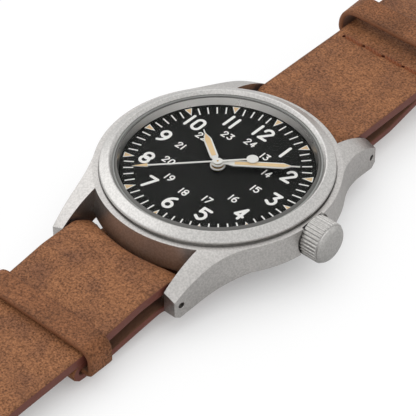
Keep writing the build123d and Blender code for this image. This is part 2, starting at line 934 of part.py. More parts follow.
def dial_print():
    """White minute track, triangles and the two rings of plain numerals."""
    tick_in, tick_out = dial_d * tick_in_share, dial_d * tick_out_share
    faces = []
    for minute in range(60):
        if minute % 5:
            mark = Rectangle(tick_out - tick_in, tick_w)
            faces.append(Rot(0, 0, 6 * minute) * Pos((tick_in + tick_out) / 2, 0) * mark)
    for hour in range(1, 13):
        angle = 90 - 30 * hour
        faces.append(Rot(0, 0, angle) * triangle(0))
        side = abs(math.cos(math.radians(angle)))
        reach = dial_d * (hour_num_share + (hour_num_side_share - hour_num_share) * side)
        faces += numeral(str(hour), hour_num_h, hour_num_w, *polar(reach, angle))
        faces += numeral(str(hour + 12), day_num_h, day_num_w, *polar(dial_d * day_num_share, angle))
    solids = [extrude(Pos(0, 0, up(dial_up)) * face, print_t) for face in faces]
    return Compound([solid for piece in solids for solid in piece.solids()])


def dial_lume():
    """Luminous filling on each hour's white triangle."""
    face, level, marks = triangle(triangle_rim), up(dial_up) + print_t, []
    for hour in range(12):
        marks.append(extrude(Pos(0, 0, level) * Rot(0, 0, 30 * hour) * face, print_t))
    return Compound([solid for piece in marks for solid in piece.solids()])


def hand_face(length, width, stem_from, body_from, body_to, shoulder):
    """Plan of a sword hand that points along +X."""
    half, tip, stem = width / 2, hand_tip_w / 2, width / 4
    points = [
        (0, stem),
        (stem_from, stem),
        (body_from, half),
        (body_to, half),
        (shoulder, tip),
        (length - tip, tip),
        (length, 0),
    ]
    mirrored = [(x, -y) for x, y in reversed(points[:-1])]
    return make_face(Polyline(*points, *mirrored, close=True))


def lume_face(width, body_from, body_to, shoulder):
    """Plan of the luminous filling, inside the hand's frame."""
    half = width / 2 - hand_frame_w
    end = body_to + (shoulder - body_to) * (1 - hand_tip_w / width)
    points = [
        (body_from + hand_frame_w, half * lume_root_share),
        (body_to, half),
        (end, hand_tip_w / 4),
        (end, -hand_tip_w / 4),
        (body_to, -half),
        (body_from + hand_frame_w, -half * lume_root_share),
    ]
    return make_face(Polyline(*points, close=True))


def bored_hand(face, boss_d, bore_d, low, thick, degrees):
    """Hand with its boss, on its tube, turned to the time shown."""
    plan = face + Circle(boss_d / 2) - Circle(bore_d / 2)
    return Pos(0, 0, low) * Rot(0, 0, 90 - degrees) * extrude(plan, thick)


def sword(length, shares):
    """Places along a sword hand, from its boss to its shoulder."""
    return [length * share for share in shares]


def hour_hand():
    face = hand_face(hour_len, hand_w, *sword(hour_len, hour_plan_shares))
    shape = bored_hand(face, hour_boss_d, hour_tube_d + fit_gap, up(hour_hand_up), hand_t, hour_angle)
    recess = lume_pocket(hour_len, hand_w, hour_plan_shares, hour_hand_up, hour_angle)
    return shape - recess


def minute_hand():
    face = hand_face(minute_len, minute_w, *sword(minute_len, minute_plan_shares))
    shape = bored_hand(face, minute_boss_d, cannon_d + fit_gap, up(minute_hand_up), hand_t, minute_angle)
    recess = lume_pocket(minute_len, minute_w, minute_plan_shares, minute_hand_up, minute_angle)
    return shape - recess


def lume_pocket(length, width, shares, low, degrees, shrink=0.0):
    """The lume's space in a hand, or the filling itself when it is shrunk."""
    stem_from, body_from, body_to, shoulder = sword(length, shares)
    face = lume_face(width - 2 * shrink, body_from, body_to, shoulder)
    base = up(low) + hand_t / 2 + shrink / 2
    thick = hand_t / 2 + (lume_t if shrink else overrun)
    return Pos(0, 0, base) * Rot(0, 0, 90 - degrees) * extrude(face, thick - shrink / 2)


def seconds_hand():
    """Thin hand with a round counterweight and a boss cap."""
    needle_len = seconds_tail + seconds_lume_from + seconds_w
    needle = Pos(needle_len / 2 - seconds_tail, 0) * Rectangle(needle_len, seconds_w)
    plan = needle + Circle(seconds_boss_d / 2) + Pos(-seconds_tail, 0) * Circle(seconds_disc_d / 2)
    plan -= Circle(seconds_staff_d / 2 + fit_gap)
    tip = seconds_tip(0)
    shape = extrude(plan + tip, seconds_t)
    return Pos(0, 0, up(seconds_hand_up)) * Rot(0, 0, 90 - seconds_angle) * shape


def seconds_tip(inset):
    """Plan of the seconds hand's pointed end."""
    half = seconds_lume_w / 2 - inset
    return make_face(
        Polyline(
            (seconds_lume_from + inset, half),
            (seconds_lume_from + inset, -half),
            (seconds_len - 2 * inset, 0),
            close=True,
        )
    )


def seconds_lume():
    """Filling painted on the seconds hand's pointed end."""
    shape = extrude(seconds_tip(edge_break / 2), lume_t)
    return Pos(0, 0, up(seconds_hand_up) + seconds_t) * Rot(0, 0, 90 - seconds_angle) * shape


# Movement


def gear_face(teeth, module, phase=0.0):
    """Plan of a small wheel with plain straight-flanked teeth."""
    pitch_r = teeth * module / 2
    tip_r, root_r = pitch_r + tooth_tip_share * module, pitch_r - tooth_root_share * module
    step = 360 / teeth
    low, high = tooth_foot_share * step, tooth_land_share * step
    points = []
    for number in range(teeth):
        middle = phase + number * step
        points.append(polar(root_r, middle - low))
        points.append(polar(tip_r, middle - high))
        points.append(polar(tip_r, middle + high))
        points.append(polar(root_r, middle + low))
    return make_face(Polyline(*points, close=True))


def gear(teeth, module, low, thick, x=0, y=0, phase=0.0, hole=0.0):
    """Wheel or pinion blank at its place, counted from the case back."""
    face = gear_face(teeth, module, phase)
    if hole:
        face -= RegularPolygon(hole, fine_sides)
    return Pos(x, y, up(low)) * extrude(face, thick)


def crossed(shape, radius, x, y, low, count=5):
    """Lighten a wheel with a ring of openings."""
    for place in PolarLocations(radius * crossing_place_share, count):
        hole = extrude(RegularPolygon(radius * crossing_size_share, few_sides), 2 * overrun)
        shape -= Pos(x, y, up(low) - overrun) * place * hole
    return shape


def mesh_phase(teeth, degrees):
    """Turn that puts a tooth space of a wheel in the given direction."""
    return degrees + 180 / teeth


def barrel():
    """Mainspring barrel: toothed drum and its cover."""
    teeth = gear(
        barrel_teeth, barrel_module, barrel_teeth_up, barrel_top_up - barrel_teeth_up,
        barrel_x, barrel_y, mesh_phase(barrel_teeth, barrel_angle + 180),
    )
    place = (barrel_x, barrel_y, drum_sides)
    drum = faceted(barrel_drum_r, up(barrel_up), up(barrel_teeth_up), *place)
    floor = up(barrel_up) + barrel_wall / 2
    room = faceted(barrel_drum_r - barrel_wall, floor, up(barrel_teeth_up), *place)
    bore = faceted(barrel_arbor_r + run_gap, back_z, up(barrel_top_up) + overrun, *place)
    return teeth + (drum - room) - bore


def barrel_arbor():
    """Arbor that the mainspring winds round, with a head over the ratchet wheel."""
    place = (barrel_x, barrel_y, drum_sides)
    head_up = up(winding_up) - screw_head_t
    shape = faceted(barrel_arbor_r / 2, head_up, up(plate_low_up) + jewel_t, *place)
    shape += faceted(barrel_arbor_r, head_up, up(winding_up), *place)
    low, high = up(barrel_up) - run_gap, up(barrel_top_up) + run_gap
    return shape + faceted(barrel_arbor_r - run_gap, low, high, *place)


def spiral(r_in, r_out, turns, width, low, high, x, y):
    """Flat spiral strip of half turns whose centres alternate."""
    step = (r_out - r_in) / (2 * turns)
    face, reach, side = None, r_in, 1
    left = -r_in
    for half in range(2 * turns):
        radius = r_in + step * (2 * half + 1) / 2
        centre = left + side * radius if half else 0
        start, end = centre - side * radius, centre + side * radius
        arc = ThreePointArc((start, 0), (centre, side * radius), (end, 0))
        strip = SlotArc(arc, width)
        face = strip if face is None else face + strip
        left, side = end, -side
    return Pos(x, y, low) * extrude(face, high - low)


def mainspring():
    low = up(barrel_up) + barrel_wall
    high = up(barrel_teeth_up) - run_gap
    r_out = barrel_drum_r - 2 * barrel_wall
    return spiral(
        2 * barrel_arbor_r, r_out, mainspring_turns, mainspring_w, low, high, barrel_x, barrel_y
    )


def centre_wheel():
    """Centre wheel, its pinion and its hollow arbor."""
    hole = centre_bore_d / 2
    wheel = gear(centre_teeth, centre_module, centre_up, wheel_t, hole=hole,
                 phase=mesh_phase(centre_teeth, third_angle))
    wheel = crossed(wheel, centre_teeth * centre_module / 2, 0, 0, centre_up)
    wheel += gear(centre_pinion_teeth, barrel_module, centre_pinion_up, centre_up - centre_pinion_up,
                  hole=hole, phase=barrel_angle)
    top = up(seconds_hand_up) - 3 * run_gap
    return wheel + faceted_pipe(centre_tube_d / 2, hole, up(centre_up), top)


def cannon_pinion():
    """Cannon pinion, which carries the minute hand."""
    hole = centre_tube_d / 2 + fit_gap
    shape = gear(cannon_teeth, motion_module, cannon_up, cannon_t, hole=hole, phase=minute_wheel_angle)
    return shape + faceted_pipe(cannon_d / 2, hole, up(cannon_up), up(minute_hand_up) + hand_t)


def staffed(wheel, pinion, low, high, x, y, radius=staff_r):
    """Wheel and pinion joined by their staff."""
    return wheel + pinion + faceted(radius, up(low), up(high), x, y)


def third_wheel():
    wheel = gear(third_teeth, third_module, third_up, wheel_t, third_x, third_y,
                 mesh_phase(third_teeth, third_angle + 180))
    wheel = crossed(wheel, third_dist, third_x, third_y, third_up)
    pinion = gear(third_pinion_teeth, centre_module, third_pinion_up, pinion_t, third_x, third_y,
                  third_angle + 180)
    return staffed(wheel, pinion, bridge_low_up + run_gap, plate_low_up + jewel_t, third_x, third_y)


def fourth_wheel():
    """Fourth wheel, whose long staff carries the seconds hand."""
    wheel = gear(fourth_teeth, fourth_module, fourth_up, wheel_t,
                 phase=mesh_phase(fourth_teeth, escape_angle))
    wheel = crossed(wheel, escape_dist, 0, 0, fourth_up)
    pinion = gear(fourth_pinion_teeth, third_module, fourth_pinion_up, pinion_t, phase=third_angle)
    return staffed(wheel, pinion, bridge_low_up + run_gap, seconds_hand_up + seconds_t, 0, 0,
                   seconds_staff_d / 2)


def escape_wheel():
    """Escape wheel with its fifteen raked teeth."""
    step = 360 / escape_teeth
    points = []
    for number in range(escape_teeth):
        points.append(polar(escape_r - escape_depth, number * step))
        points.append(polar(escape_r, number * step + step / 3))
        points.append(polar(escape_r, number * step + step / 2))
    face = make_face(Polyline(*points, close=True))
    wheel = Pos(escape_x, escape_y, up(escape_up)) * extrude(face, wheel_t)
    wheel = crossed(wheel, escape_r - escape_depth, escape_x, escape_y, escape_up, 4)
    pinion = gear(escape_pinion_teeth, fourth_module, escape_pinion_up, pinion_t, escape_x, escape_y,
                  escape_angle + 180)
    return staffed(wheel, pinion, bridge_low_up + run_gap, plate_low_up + jewel_t, escape_x, escape_y)


def pallet_fork():
    """Lever with its two pallets and its forked end, held by a short staff."""
    reach = math.dist((pallet_x, pallet_y), (balance_x, balance_y)) - roller_r - 2 * run_gap
    arm_w = 2 * staff_r + run_gap
    lever = Pos(reach / 2, 0) * Rectangle(reach, arm_w)
    for sign in (1, -1):
        tine = Pos(reach, sign * arm_w) * Rectangle(3 * arm_w, arm_w / 2)
        lever += tine - Pos(reach + 2 * arm_w, 0) * Circle(2 * arm_w)
    lever += Pos(reach - arm_w, 0) * Rectangle(arm_w / 2, 2 * arm_w)
    stone_r = escape_r + pallet_gap
    for sign in (1, -1):
        x, y = polar(stone_r, sign * stone_angle)
        spot = (x - pallet_dist, y)
        lever += stroke([(0, 0), (spot[0] + arm_w, spot[1])], arm_w)
        lever += Pos(spot[0] + arm_w, spot[1]) * Rectangle(arm_w, arm_w)
    shape = Pos(0, 0, up(fork_up)) * extrude(lever, fork_t)
    low = up(pallet_bridge_up) - pallet_bridge_t + run_gap
    shape += faceted(staff_r, low, up(plate_low_up) + jewel_t)
    return Pos(pallet_x, pallet_y, 0) * Rot(0, 0, fork_angle) * shape


def balance_wheel():
    """Balance with two arms, its staff and its roller."""
    rim = Circle(balance_r) - Circle(balance_r - balance_rim_w)
    rim += Rectangle(2 * balance_r - balance_rim_w, balance_arm_w) + Circle(2 * balance_arm_w)
    wheel = Rot(0, 0, fork_angle + 90) * extrude(rim, balance_t)
    wheel = Pos(balance_x, balance_y, up(balance_up)) * wheel
    wheel += rod(staff_r, up(cock_up) + run_gap, up(plate_low_up) + jewel_t, balance_x, balance_y)
    return wheel + rod(roller_r, up(roller_up), up(roller_up) + roller_t, balance_x, balance_y)


def hairspring():
    return spiral(
        hairspring_in_r, hairspring_out_r, hairspring_turns, hairspring_w,
        up(hairspring_up), up(hairspring_up) + hairspring_t, balance_x, balance_y,
    )


def minute_wheel():
    """Minute wheel and pinion of the motion work, on its post."""
    wheel = gear(minute_teeth, motion_module, minute_wheel_up, minute_wheel_t, minute_x, minute_y,
                 mesh_phase(minute_teeth, minute_wheel_angle + 180))
    pinion = gear(minute_pinion_teeth, hour_module, minute_wheel_up + minute_wheel_t, minute_pinion_t,
                  minute_x, minute_y, minute_wheel_angle + 180)
    bore = faceted(staff_r + run_gap, back_z, up(case_h), minute_x, minute_y)
    return wheel + pinion - bore


def hour_wheel():
    """Hour wheel, whose tube carries the hour hand."""
    hole = cannon_d / 2 + 2 * run_gap
    wheel = gear(hour_teeth, hour_module, hour_wheel_up, hour_wheel_t, hole=hole,
                 phase=mesh_phase(hour_teeth, minute_wheel_angle))
    return wheel + faceted_pipe(hour_tube_d / 2, hole, up(hour_wheel_up), up(hour_hand_up) + hand_t)


def ratchet_wheel():
    """Ratchet wheel on the barrel arbor."""
    angle = math.degrees(math.atan2(crown_wheel_y - barrel_y, crown_wheel_x - barrel_x))
    hole = barrel_arbor_r / 2 + fit_gap
    return gear(ratchet_teeth, winding_module, winding_up, winding_t, barrel_x, barrel_y,
                mesh_phase(ratchet_teeth, angle), hole)


def crown_wheel():
    """Crown wheel with a ring that reaches down to the winding pinion."""
    angle = math.degrees(math.atan2(barrel_y - crown_wheel_y, barrel_x - crown_wheel_x))
    wheel = gear(crown_wheel_teeth, winding_module, winding_up, winding_t, crown_wheel_x,
                 crown_wheel_y, angle)
    r = crown_wheel_teeth * winding_module / 2 - 1.5 * winding_module
    place = (crown_wheel_x, crown_wheel_y, fine_sides)
    wheel += faceted(r, up(winding_up + winding_t), up(crown_ring_up), *place)
    return wheel - faceted(crown_post_r + 2 * run_gap, back_z, up(plate_low_up), *place)


def staff_places():
    """Where the jewelled staffs stand, with the half of the movement that holds each."""
    return {
        "third": (third_x, third_y),
        "fourth": (0, 0),
        "escape": (escape_x, escape_y),
        "balance": (balance_x, balance_y),
        "pallet": (pallet_x, pallet_y),
    }


def main_plate():
    """Main plate, cut for the stem, the jewels and the posts."""
    low, high, seat = up(plate_low_up), up(plate_high_up), up(plate_low_up) + jewel_t
    shape = rod(movement_d / 2, low, high)
    shape -= rod(centre_tube_d / 2 + 2 * run_gap, low - overrun, high + overrun)
    stem_room = Cylinder(winding_pinion_r + 2 * run_gap, movement_d / 2 - stem_in_x, rotation=(0, 90, 0))
    shape -= Pos((stem_in_x + movement_d / 2) / 2, 0, up(crown_up)) * stem_room
    shape += rod(staff_r, high - jewel_t, up(hour_wheel_up), minute_x, minute_y)
    for name, (x, y) in staff_places().items():
        if name != "fourth":
            shape -= rod(jewel_d / 2 + jewel_gap, low - overrun, seat, x, y)
    shape -= rod(barrel_arbor_r / 2 + run_gap, low - overrun, seat + run_gap, barrel_x, barrel_y)
    shape += rod(crown_post_r, up(winding_up), high, crown_wheel_x, crown_wheel_y)
    return shape - rod(crown_screw_r + run_gap, back_z, low, crown_wheel_x, crown_wheel_y)


def bridge(points, pillars):
    """Bridge plate with the pillars that stand it off the main plate."""
    face = make_face(Polyline(*points, close=True)) & Circle(movement_d / 2 - 2 * run_gap)
    shape = Pos(0, 0, up(bridge_low_up)) * extrude(face, bridge_high_up - bridge_low_up)
    for x, y in pillars:
        shape += rod(2 * pillar_r, up(bridge_low_up), up(plate_low_up), x, y)
    for x, y in pillars:
        shape -= rod(pillar_r + run_gap, back_z, up(plate_low_up) + overrun, x, y)
    return shape


def barrel_bridge():
    """Bridge over the barrel and the crown wheel."""
    reach, edge = movement_d / 2, bridge_edge_y
    shape = bridge([(-reach, edge), (reach, edge), (reach, reach), (-reach, reach)], barrel_pillars)
    shape -= rod(barrel_arbor_r / 2 + run_gap, back_z, up(barrel_up), barrel_x, barrel_y)
    r = crown_wheel_teeth * winding_module / 2 - winding_module
    shape -= rod(r, back_z, up(barrel_up), crown_wheel_x, crown_wheel_y)
    return shape


def jewel_seats(shape, names):
    """Bore a bridge for the jewels that it holds."""
    places = staff_places()
    for name in names:
        x, y = places[name]
        shape -= rod(jewel_d / 2 + jewel_gap, back_z, up(barrel_up), x, y)
    return shape


def train_bridge():
    """Bridge over the centre, third and escape wheels."""
    reach = movement_d / 2
    edge = bridge_edge_y - bridge_slit
    points = [
        (-reach, edge),
        (escape_x + 2 * jewel_d, edge),
        (escape_x + 2 * jewel_d, escape_y - jewel_d),
        (escape_x - jewel_d, escape_y - 2 * jewel_d),
        (escape_x - 2 * jewel_d, -reach),
        (-reach, -reach),
    ]
    return jewel_seats(bridge(points, train_pillars), ("third", "fourth", "escape"))


def balance_cock():
    """Cock that carries the balance from one foot."""
    x, y = cock_pillar
    angle = math.degrees(math.atan2(balance_y - y, balance_x - x))
    gap = math.dist(cock_pillar, (balance_x, balance_y))
    arm = Pos((x + balance_x) / 2, (y + balance_y) / 2) * Rot(0, 0, angle) * Rectangle(gap, 4 * pillar_r)
    plan = arm + Pos(x, y) * Circle(3 * pillar_r) + Pos(balance_x, balance_y) * Circle(3 * pillar_r)
    plan &= Circle(movement_d / 2 - 2 * run_gap)
    shape = Pos(0, 0, up(cock_up)) * extrude(plan, cock_t)
    shape += rod(2 * pillar_r, up(cock_up), up(plate_low_up), x, y)
    shape -= rod(pillar_r + run_gap, back_z, up(plate_low_up) + overrun, x, y)
    return shape - rod(jewel_d / 2 + jewel_gap, back_z, up(balance_up), balance_x, balance_y)


def pallet_bridge():
    """Small bridge over the pallet staff."""
    side_x, side_y = polar(pallet_bridge_len, fork_angle + 90)
    high = up(pallet_bridge_up)
    plan = stroke([(pallet_x, pallet_y), (pallet_x + side_x, pallet_y + side_y)], 3 * pillar_r)
    shape = Pos(0, 0, high - pallet_bridge_t) * extrude(plan, pallet_bridge_t)
    shape += rod(pillar_r, high - pallet_bridge_t, up(plate_low_up), pallet_x + side_x, pallet_y + side_y)
    return shape - rod(staff_r + run_gap, back_z, up(plate_low_up), pallet_x, pallet_y)


def click():
    """Click and its spring arm, on the barrel bridge beside the ratchet wheel."""
    ratchet_r = ratchet_teeth * winding_module / 2
    x, y = polar(ratchet_r + 2 * click_r, click_angle)
    x, y = barrel_x + x, barrel_y + y
    beak_x, beak_y = polar(click_beak_len, click_angle - 90 - click_tilt)
    arm_x, arm_y = polar(click_arm_len, click_angle + 2 * click_tilt)
    plan = Pos(x, y) * Circle(click_r)
    plan += stroke([(x, y), (x - beak_x, y - beak_y)], click_r / 2)
    plan += stroke([(x, y), (x + arm_x, y + arm_y)], click_arm_w)
    return Pos(0, 0, up(winding_up)) * extrude(plan, bridge_low_up - winding_up)


def setting_lever():
    """Lever beside the stem, under the main plate."""
    x, y = setting_place
    plan = stroke([(x, y), (x + setting_len, y - setting_len)], setting_w) + Pos(x, y) * Circle(setting_w)
    return Pos(0, 0, up(plate_low_up) - setting_t) * extrude(plan, setting_t)


def screw(x, y, level, shank_r, head_r):
    """Slotted screw with its head above a bridge's outer face."""
    head = rod(head_r, up(level) - screw_head_t, up(level), x, y)
    head -= Pos(x, y, up(level) - screw_head_t) * Box(3 * head_r, screw_slot_w, 2 * screw_slot_t)
    return head + rod(shank_r, up(level) - run_gap, up(plate_low_up), x, y)


def movement_screws():
    """Screws of the bridges, the cock and the crown wheel."""
    shank, head = pillar_r - run_gap, 3 * pillar_r / 2
    screws = [screw(x, y, bridge_low_up, shank, head) for x, y in (*barrel_pillars, *train_pillars)]
    screws.append(screw(*cock_pillar, cock_up, shank, head))
    screws.append(screw(crown_wheel_x, crown_wheel_y, winding_up, crown_screw_r, head))
    return Compound(screws)


def jewels():
    """Ring jewels that the staffs turn in."""
    rings = []
    plate_seat, plate_top = up(plate_low_up) + run_gap, up(plate_low_up) + jewel_t
    for name, (x, y) in staff_places().items():
        low = {"balance": cock_up, "pallet": None}.get(name, bridge_low_up)
        hole = (seconds_staff_d / 2 if name == "fourth" else staff_r) + run_gap
        if low is not None:
            rings.append(pipe(jewel_d / 2, hole, up(low), up(low) + jewel_t, x, y))
        if name != "fourth":
            rings.append(pipe(jewel_d / 2, hole, plate_seat, plate_top, x, y))
    return Compound(rings)


# Strap


def band(points, radii, width, thick):
    """Flat band along a route of straight runs and tangent arcs in the Y-Z plane."""
    route = FilletPolyline(*[(0, y, z) for y, z in points], radius=list(radii))
    start = Plane(origin=route @ 0, x_dir=(1, 0, 0), z_dir=route % 0)
    return sweep(start * Rectangle(width, thick), route)


def strap_route():
    """Centre line of the long strap, from its folded end to its tip."""
    half = strap_t / 2
    fold = buckle_bar_d / 2 + 2 * leather_gap + half
    lie = strap_t + 2 * leather_gap
    wall_y = case_d / 2 + 2 * leather_gap + half
    under_z = under_t + leather_gap + half
    rise_z = up(belly_up) - wrap_drop
    foot_y = foot_d / 2 + leather_gap
    bend_y = bar_y + strap_bend_len
    points = [
        (bar_y + fold_end_len, strap_z(fold_end_len) - lie),
        (bend_y, strap_bend_z - lie),
        (bar_y + strap_meet_len, strap_z(strap_meet_len) - lie),
        (bar_y + strap_part_len, buckle_z - fold),
        (buckle_y + fold, buckle_z - fold),
        (buckle_y + fold, buckle_z + fold),
        (bend_y, strap_bend_z),
        (bar_y + strap_flat_len, strap_level_z),
        (wall_y, strap_level_z),
        (wall_y, rise_z),
        (foot_y, under_z),
        (-foot_y, under_z),
        (-wall_y, rise_z),
        (-wall_y, strap_level_6_z),
        *[(-bar_y - length, z) for length, z in tail_runs],
        (tail_y, half),
    ]
    turn = fold - fit_gap
    wrap = [wrap_corner_r, wrap_bend_r, wrap_foot_r]
    soft = 2 * fold_bend_r
    radii = [soft, fold_bend_r, under_bend_r, turn, turn, soft, soft, *wrap, *reversed(wrap)]
    return points, [*radii, *tail_radii]


def strap_z(length):
    """Height of the long strap's centre line between its flat part and the buckle."""
    fold = buckle_bar_d / 2 + 2 * leather_gap + strap_t / 2
    if length < strap_bend_len:
        share = (length - strap_flat_len) / (strap_bend_len - strap_flat_len)
        return strap_level_z + (strap_bend_z - strap_level_z) * share
    share = (length - strap_bend_len) / (buckle_len - strap_bend_len)
    return strap_bend_z + (buckle_z + fold - strap_bend_z) * share


def strap():
    """Long strap: folded at the buckle, under the case, out to its punched tip."""
    points, radii = strap_route()
    shape = band(points, radii, strap_w, strap_t)
    slot_y, slot_x = 2 * tongue_ring_d, tongue_slot_w / 2
    shape -= slab(-slot_x, slot_x, buckle_y - slot_y, buckle_y + slot_y, 0, strap_level_z)
    half = strap_w / 2
    for sign in (1, -1):
        corner = make_face(
            Polyline(
                (sign * tongue_w, tail_y - overrun),
                (sign * (half + overrun), tail_y - overrun),
                (sign * (half + overrun), tail_y + tail_point_len),
                (sign * half, tail_y + tail_point_len),
                (sign * half * tail_shoulder_share, tail_y + tail_point_len / 3),
                (sign * tongue_w, tail_y),
                close=True,
            )
        )
        shape -= extrude(corner, 2 * strap_t)
    for number in range(tail_slots):
        y = tail_y + tail_first_slot + number * tail_slot_pitch
        shape -= rod(tail_slot_d / 2, -overrun, strap_level_z, 0, y)
    return shape


def under_strap():
    """Under strap: sewn on at the 12 side, folded round the end keeper at the 6 side."""
    half = under_t / 2
    sewn_z = strap_level_z - strap_t / 2 - leather_gap - half
    slot_z = sewn_z - keeper_t - leather_gap
    low_z = end_flap_z - under_t - keeper_t - 2 * leather_gap
    turn = (end_flap_z - low_z) / 2
    end_y = end_keeper_y - end_keeper_w / 2 - leather_gap - turn
    return_y = fixed_keeper_y + fixed_keeper_w / 2 + under_step
    leave_y = bar_y + under_leave_len
    flat_y, rise_y = foot_d / 2 + under_flat_out, bar_y + under_rise_len
    points = [
        (bar_y + under_end_len, sewn_z),
        (return_y + under_step, sewn_z),
        (return_y, slot_z),
        (leave_y + under_step, slot_z),
        (leave_y, sewn_z),
        (bar_y + under_land_len, sewn_z),
        (bar_y + under_slope_len, under_slope_z),
        (rise_y, under_rise_z),
        (flat_y, half),
        (-flat_y, half),
        (-bar_y - under_rise_6[0], under_rise_6[1]),
        (-bar_y - under_slope_6[0], under_slope_6[1]),
        (-bar_y - under_low_len, low_z),
        (end_y, low_z),
        (end_y, end_flap_z),
        (-bar_y - end_flap_len, end_flap_z),
    ]
    step, bend = [under_step_r] * 4, [under_bend_r] * 8
    return band(points, [*step, *bend, turn - fit_gap, turn - fit_gap], under_w, under_t)


def keeper_loop(half, low, high):
    """Closed band in the X-Z plane, with wide upper and tight lower corners."""
    outer = keeper_outline(half, low, high, keeper_corner_r, keeper_low_r)
    inner = keeper_outline(
        half - keeper_t, low + keeper_t, high - keeper_t, keeper_corner_r - keeper_t, keeper_low_r - keeper_t
    )
    return outer - inner


def keeper_outline(half, low, high, top_r, low_r):
    """Outline of a keeper, as a face across the strap."""
    corners = ((-half, low), (half, low), (half, high), (-half, high), (-half, (low + high) / 2))
    points = [(x, 0, z) for x, z in corners]
    line = FilletPolyline(*points[:-1], radius=[low_r, low_r, top_r, top_r], close=True)
    return make_face(line)


def end_keeper():
    """Loop at the end of the under strap, round the long strap."""
    low = end_flap_z - under_t / 2 - leather_gap - keeper_t
    face = keeper_loop(end_keeper_half, low, end_keeper_top)
    return Pos(0, end_keeper_y, 0) * extrude(face, end_keeper_w / 2, both=True)


def fixed_keeper():
    """Loop beside the stitching, leaning away from the case."""
    low = strap_level_z - strap_t / 2 - leather_gap - keeper_t
    face = keeper_loop(fixed_keeper_half, low, fixed_keeper_top)
    shape = extrude(face, fixed_keeper_w + fixed_keeper_lean, both=True)
    half = fixed_keeper_w / 2
    side = make_face(
        Polyline(
            (0, -half, low),
            (0, half, low),
            (0, half + fixed_keeper_lean, fixed_keeper_top),
            (0, fixed_keeper_lean - half, fixed_keeper_top),
            close=True,
        )
    )
    shape &= extrude(side, 2 * fixed_keeper_half, dir=(1, 0, 0), both=True)
    return Pos(0, fixed_keeper_y, 0) * shape


def stitch_row(y, z, tilt, side):
    """Row of thread on a strap face that slopes by tilt degrees."""
    row = []
    for number in range(stitch_count):
        x = (number - (stitch_count - 1) / 2) * strap_w * stitch_pitch_share
        thread = extrude(SlotOverall(strap_w * thread_len_share, thread_w), side * thread_t)
        row.append(Pos(x, y, z) * Rot(-tilt, 0, 0) * thread)
    return row


def stitching():
    """Rows of thread through both layers, beside the fixed keeper and by the buckle."""
    half = strap_t / 2
    sewn_low, sewn_y = strap_level_z - half - leather_gap - under_t, bar_y + stitch_len_out
    rows = stitch_row(sewn_y, strap_level_z + half, 0, 1) + stitch_row(sewn_y, sewn_low, 0, -1)
    fall, run = strap_level_z - strap_bend_z, strap_bend_len - strap_flat_len
    tilt = math.degrees(math.atan2(fall, run))
    reach = half / math.cos(math.radians(tilt))
    centre_z, fold_y = strap_z(fold_stitch_len), bar_y + fold_stitch_len
    lie = strap_t + 2 * leather_gap
    rows += stitch_row(fold_y, centre_z + reach, tilt, 1)
    rows += stitch_row(fold_y, centre_z - lie - reach, tilt, -1)
    return Compound(rows)


# Buckle


def hung(shape):
    """Hang a buckle part on its bar, drooping to the table."""
    return Pos(0, buckle_y, buckle_z) * Rot(-buckle_droop, 0, 0) * shape


def buckle_frame():
    """Steel frame with an eye at the end of each arm."""
    half = buckle_in_w / 2 + buckle_rod_w
    plan = Pos(0, buckle_reach / 2) * RectangleRounded(2 * half, buckle_reach, buckle_rod_w)
    plan += Pos(0, buckle_rod_w) * Rectangle(2 * half, 2 * buckle_rod_w)
    window_end = buckle_reach - buckle_rod_w
    plan -= Pos(0, (window_end - overrun) / 2) * Rectangle(buckle_in_w, window_end + overrun)
    shape = Pos(0, 0, -buckle_rod_t / 2) * extrude(plan, buckle_rod_t)
    rims = shape.edges().group_by(Axis.Z)
    shape = fillet(rims[0] + rims[-1], buckle_round_r)
    for sign in (1, -1):
        eye = Cylinder(buckle_eye_d / 2, buckle_rod_w, rotation=(0, 90, 0))
        shape += Pos(sign * (buckle_in_w + buckle_rod_w) / 2, 0, 0) * eye
    bore = Cylinder(buckle_bar_d / 2 + fit_gap, buckle_in_w + buckle_rod_w, rotation=(0, 90, 0))
    return hung(shape - bore)


def buckle_bar():
    """Bar that the strap and the tongue turn on."""
    bar = Cylinder(buckle_bar_d / 2, buckle_in_w + buckle_rod_w, rotation=(0, 90, 0))
    return Pos(0, buckle_y, buckle_z) * bar


def buckle_tongue():
    """Tongue: a ring round the bar and a pin that rests on the frame."""
    ring_r, bore_r = tongue_ring_d / 2, buckle_bar_d / 2 + run_gap
    rest = buckle_rod_t / 2 + run_gap
    land_y = buckle_reach - 2 * buckle_rod_w
    front = buckle_reach + tongue_t / 2
    pin = make_face(
        Polyline(
            (bore_r, rest - tongue_t),
            (land_y, rest),
            (front, rest),
            (front, rest + tongue_t / 2),
            (land_y, rest + tongue_t),
            (bore_r, ring_r - run_gap),
            close=True,
        )
    )
    profile = Circle(ring_r) + pin - Circle(bore_r)
    return hung(extrude(Plane.YZ * profile, tongue_w / 2, both=True))


def hour_lume():
    return lume_pocket(hour_len, hand_w, hour_plan_shares, hour_hand_up, hour_angle, fit_gap)


def minute_lume():
    return lume_pocket(minute_len, minute_w, minute_plan_shares, minute_hand_up, minute_angle, fit_gap)


def winding_pinion():
    return stem_pinion(winding_x, winding_len, winding_pinion_r)


def sliding_pinion():
    return stem_pinion(sliding_x, sliding_len, sliding_pinion_r)


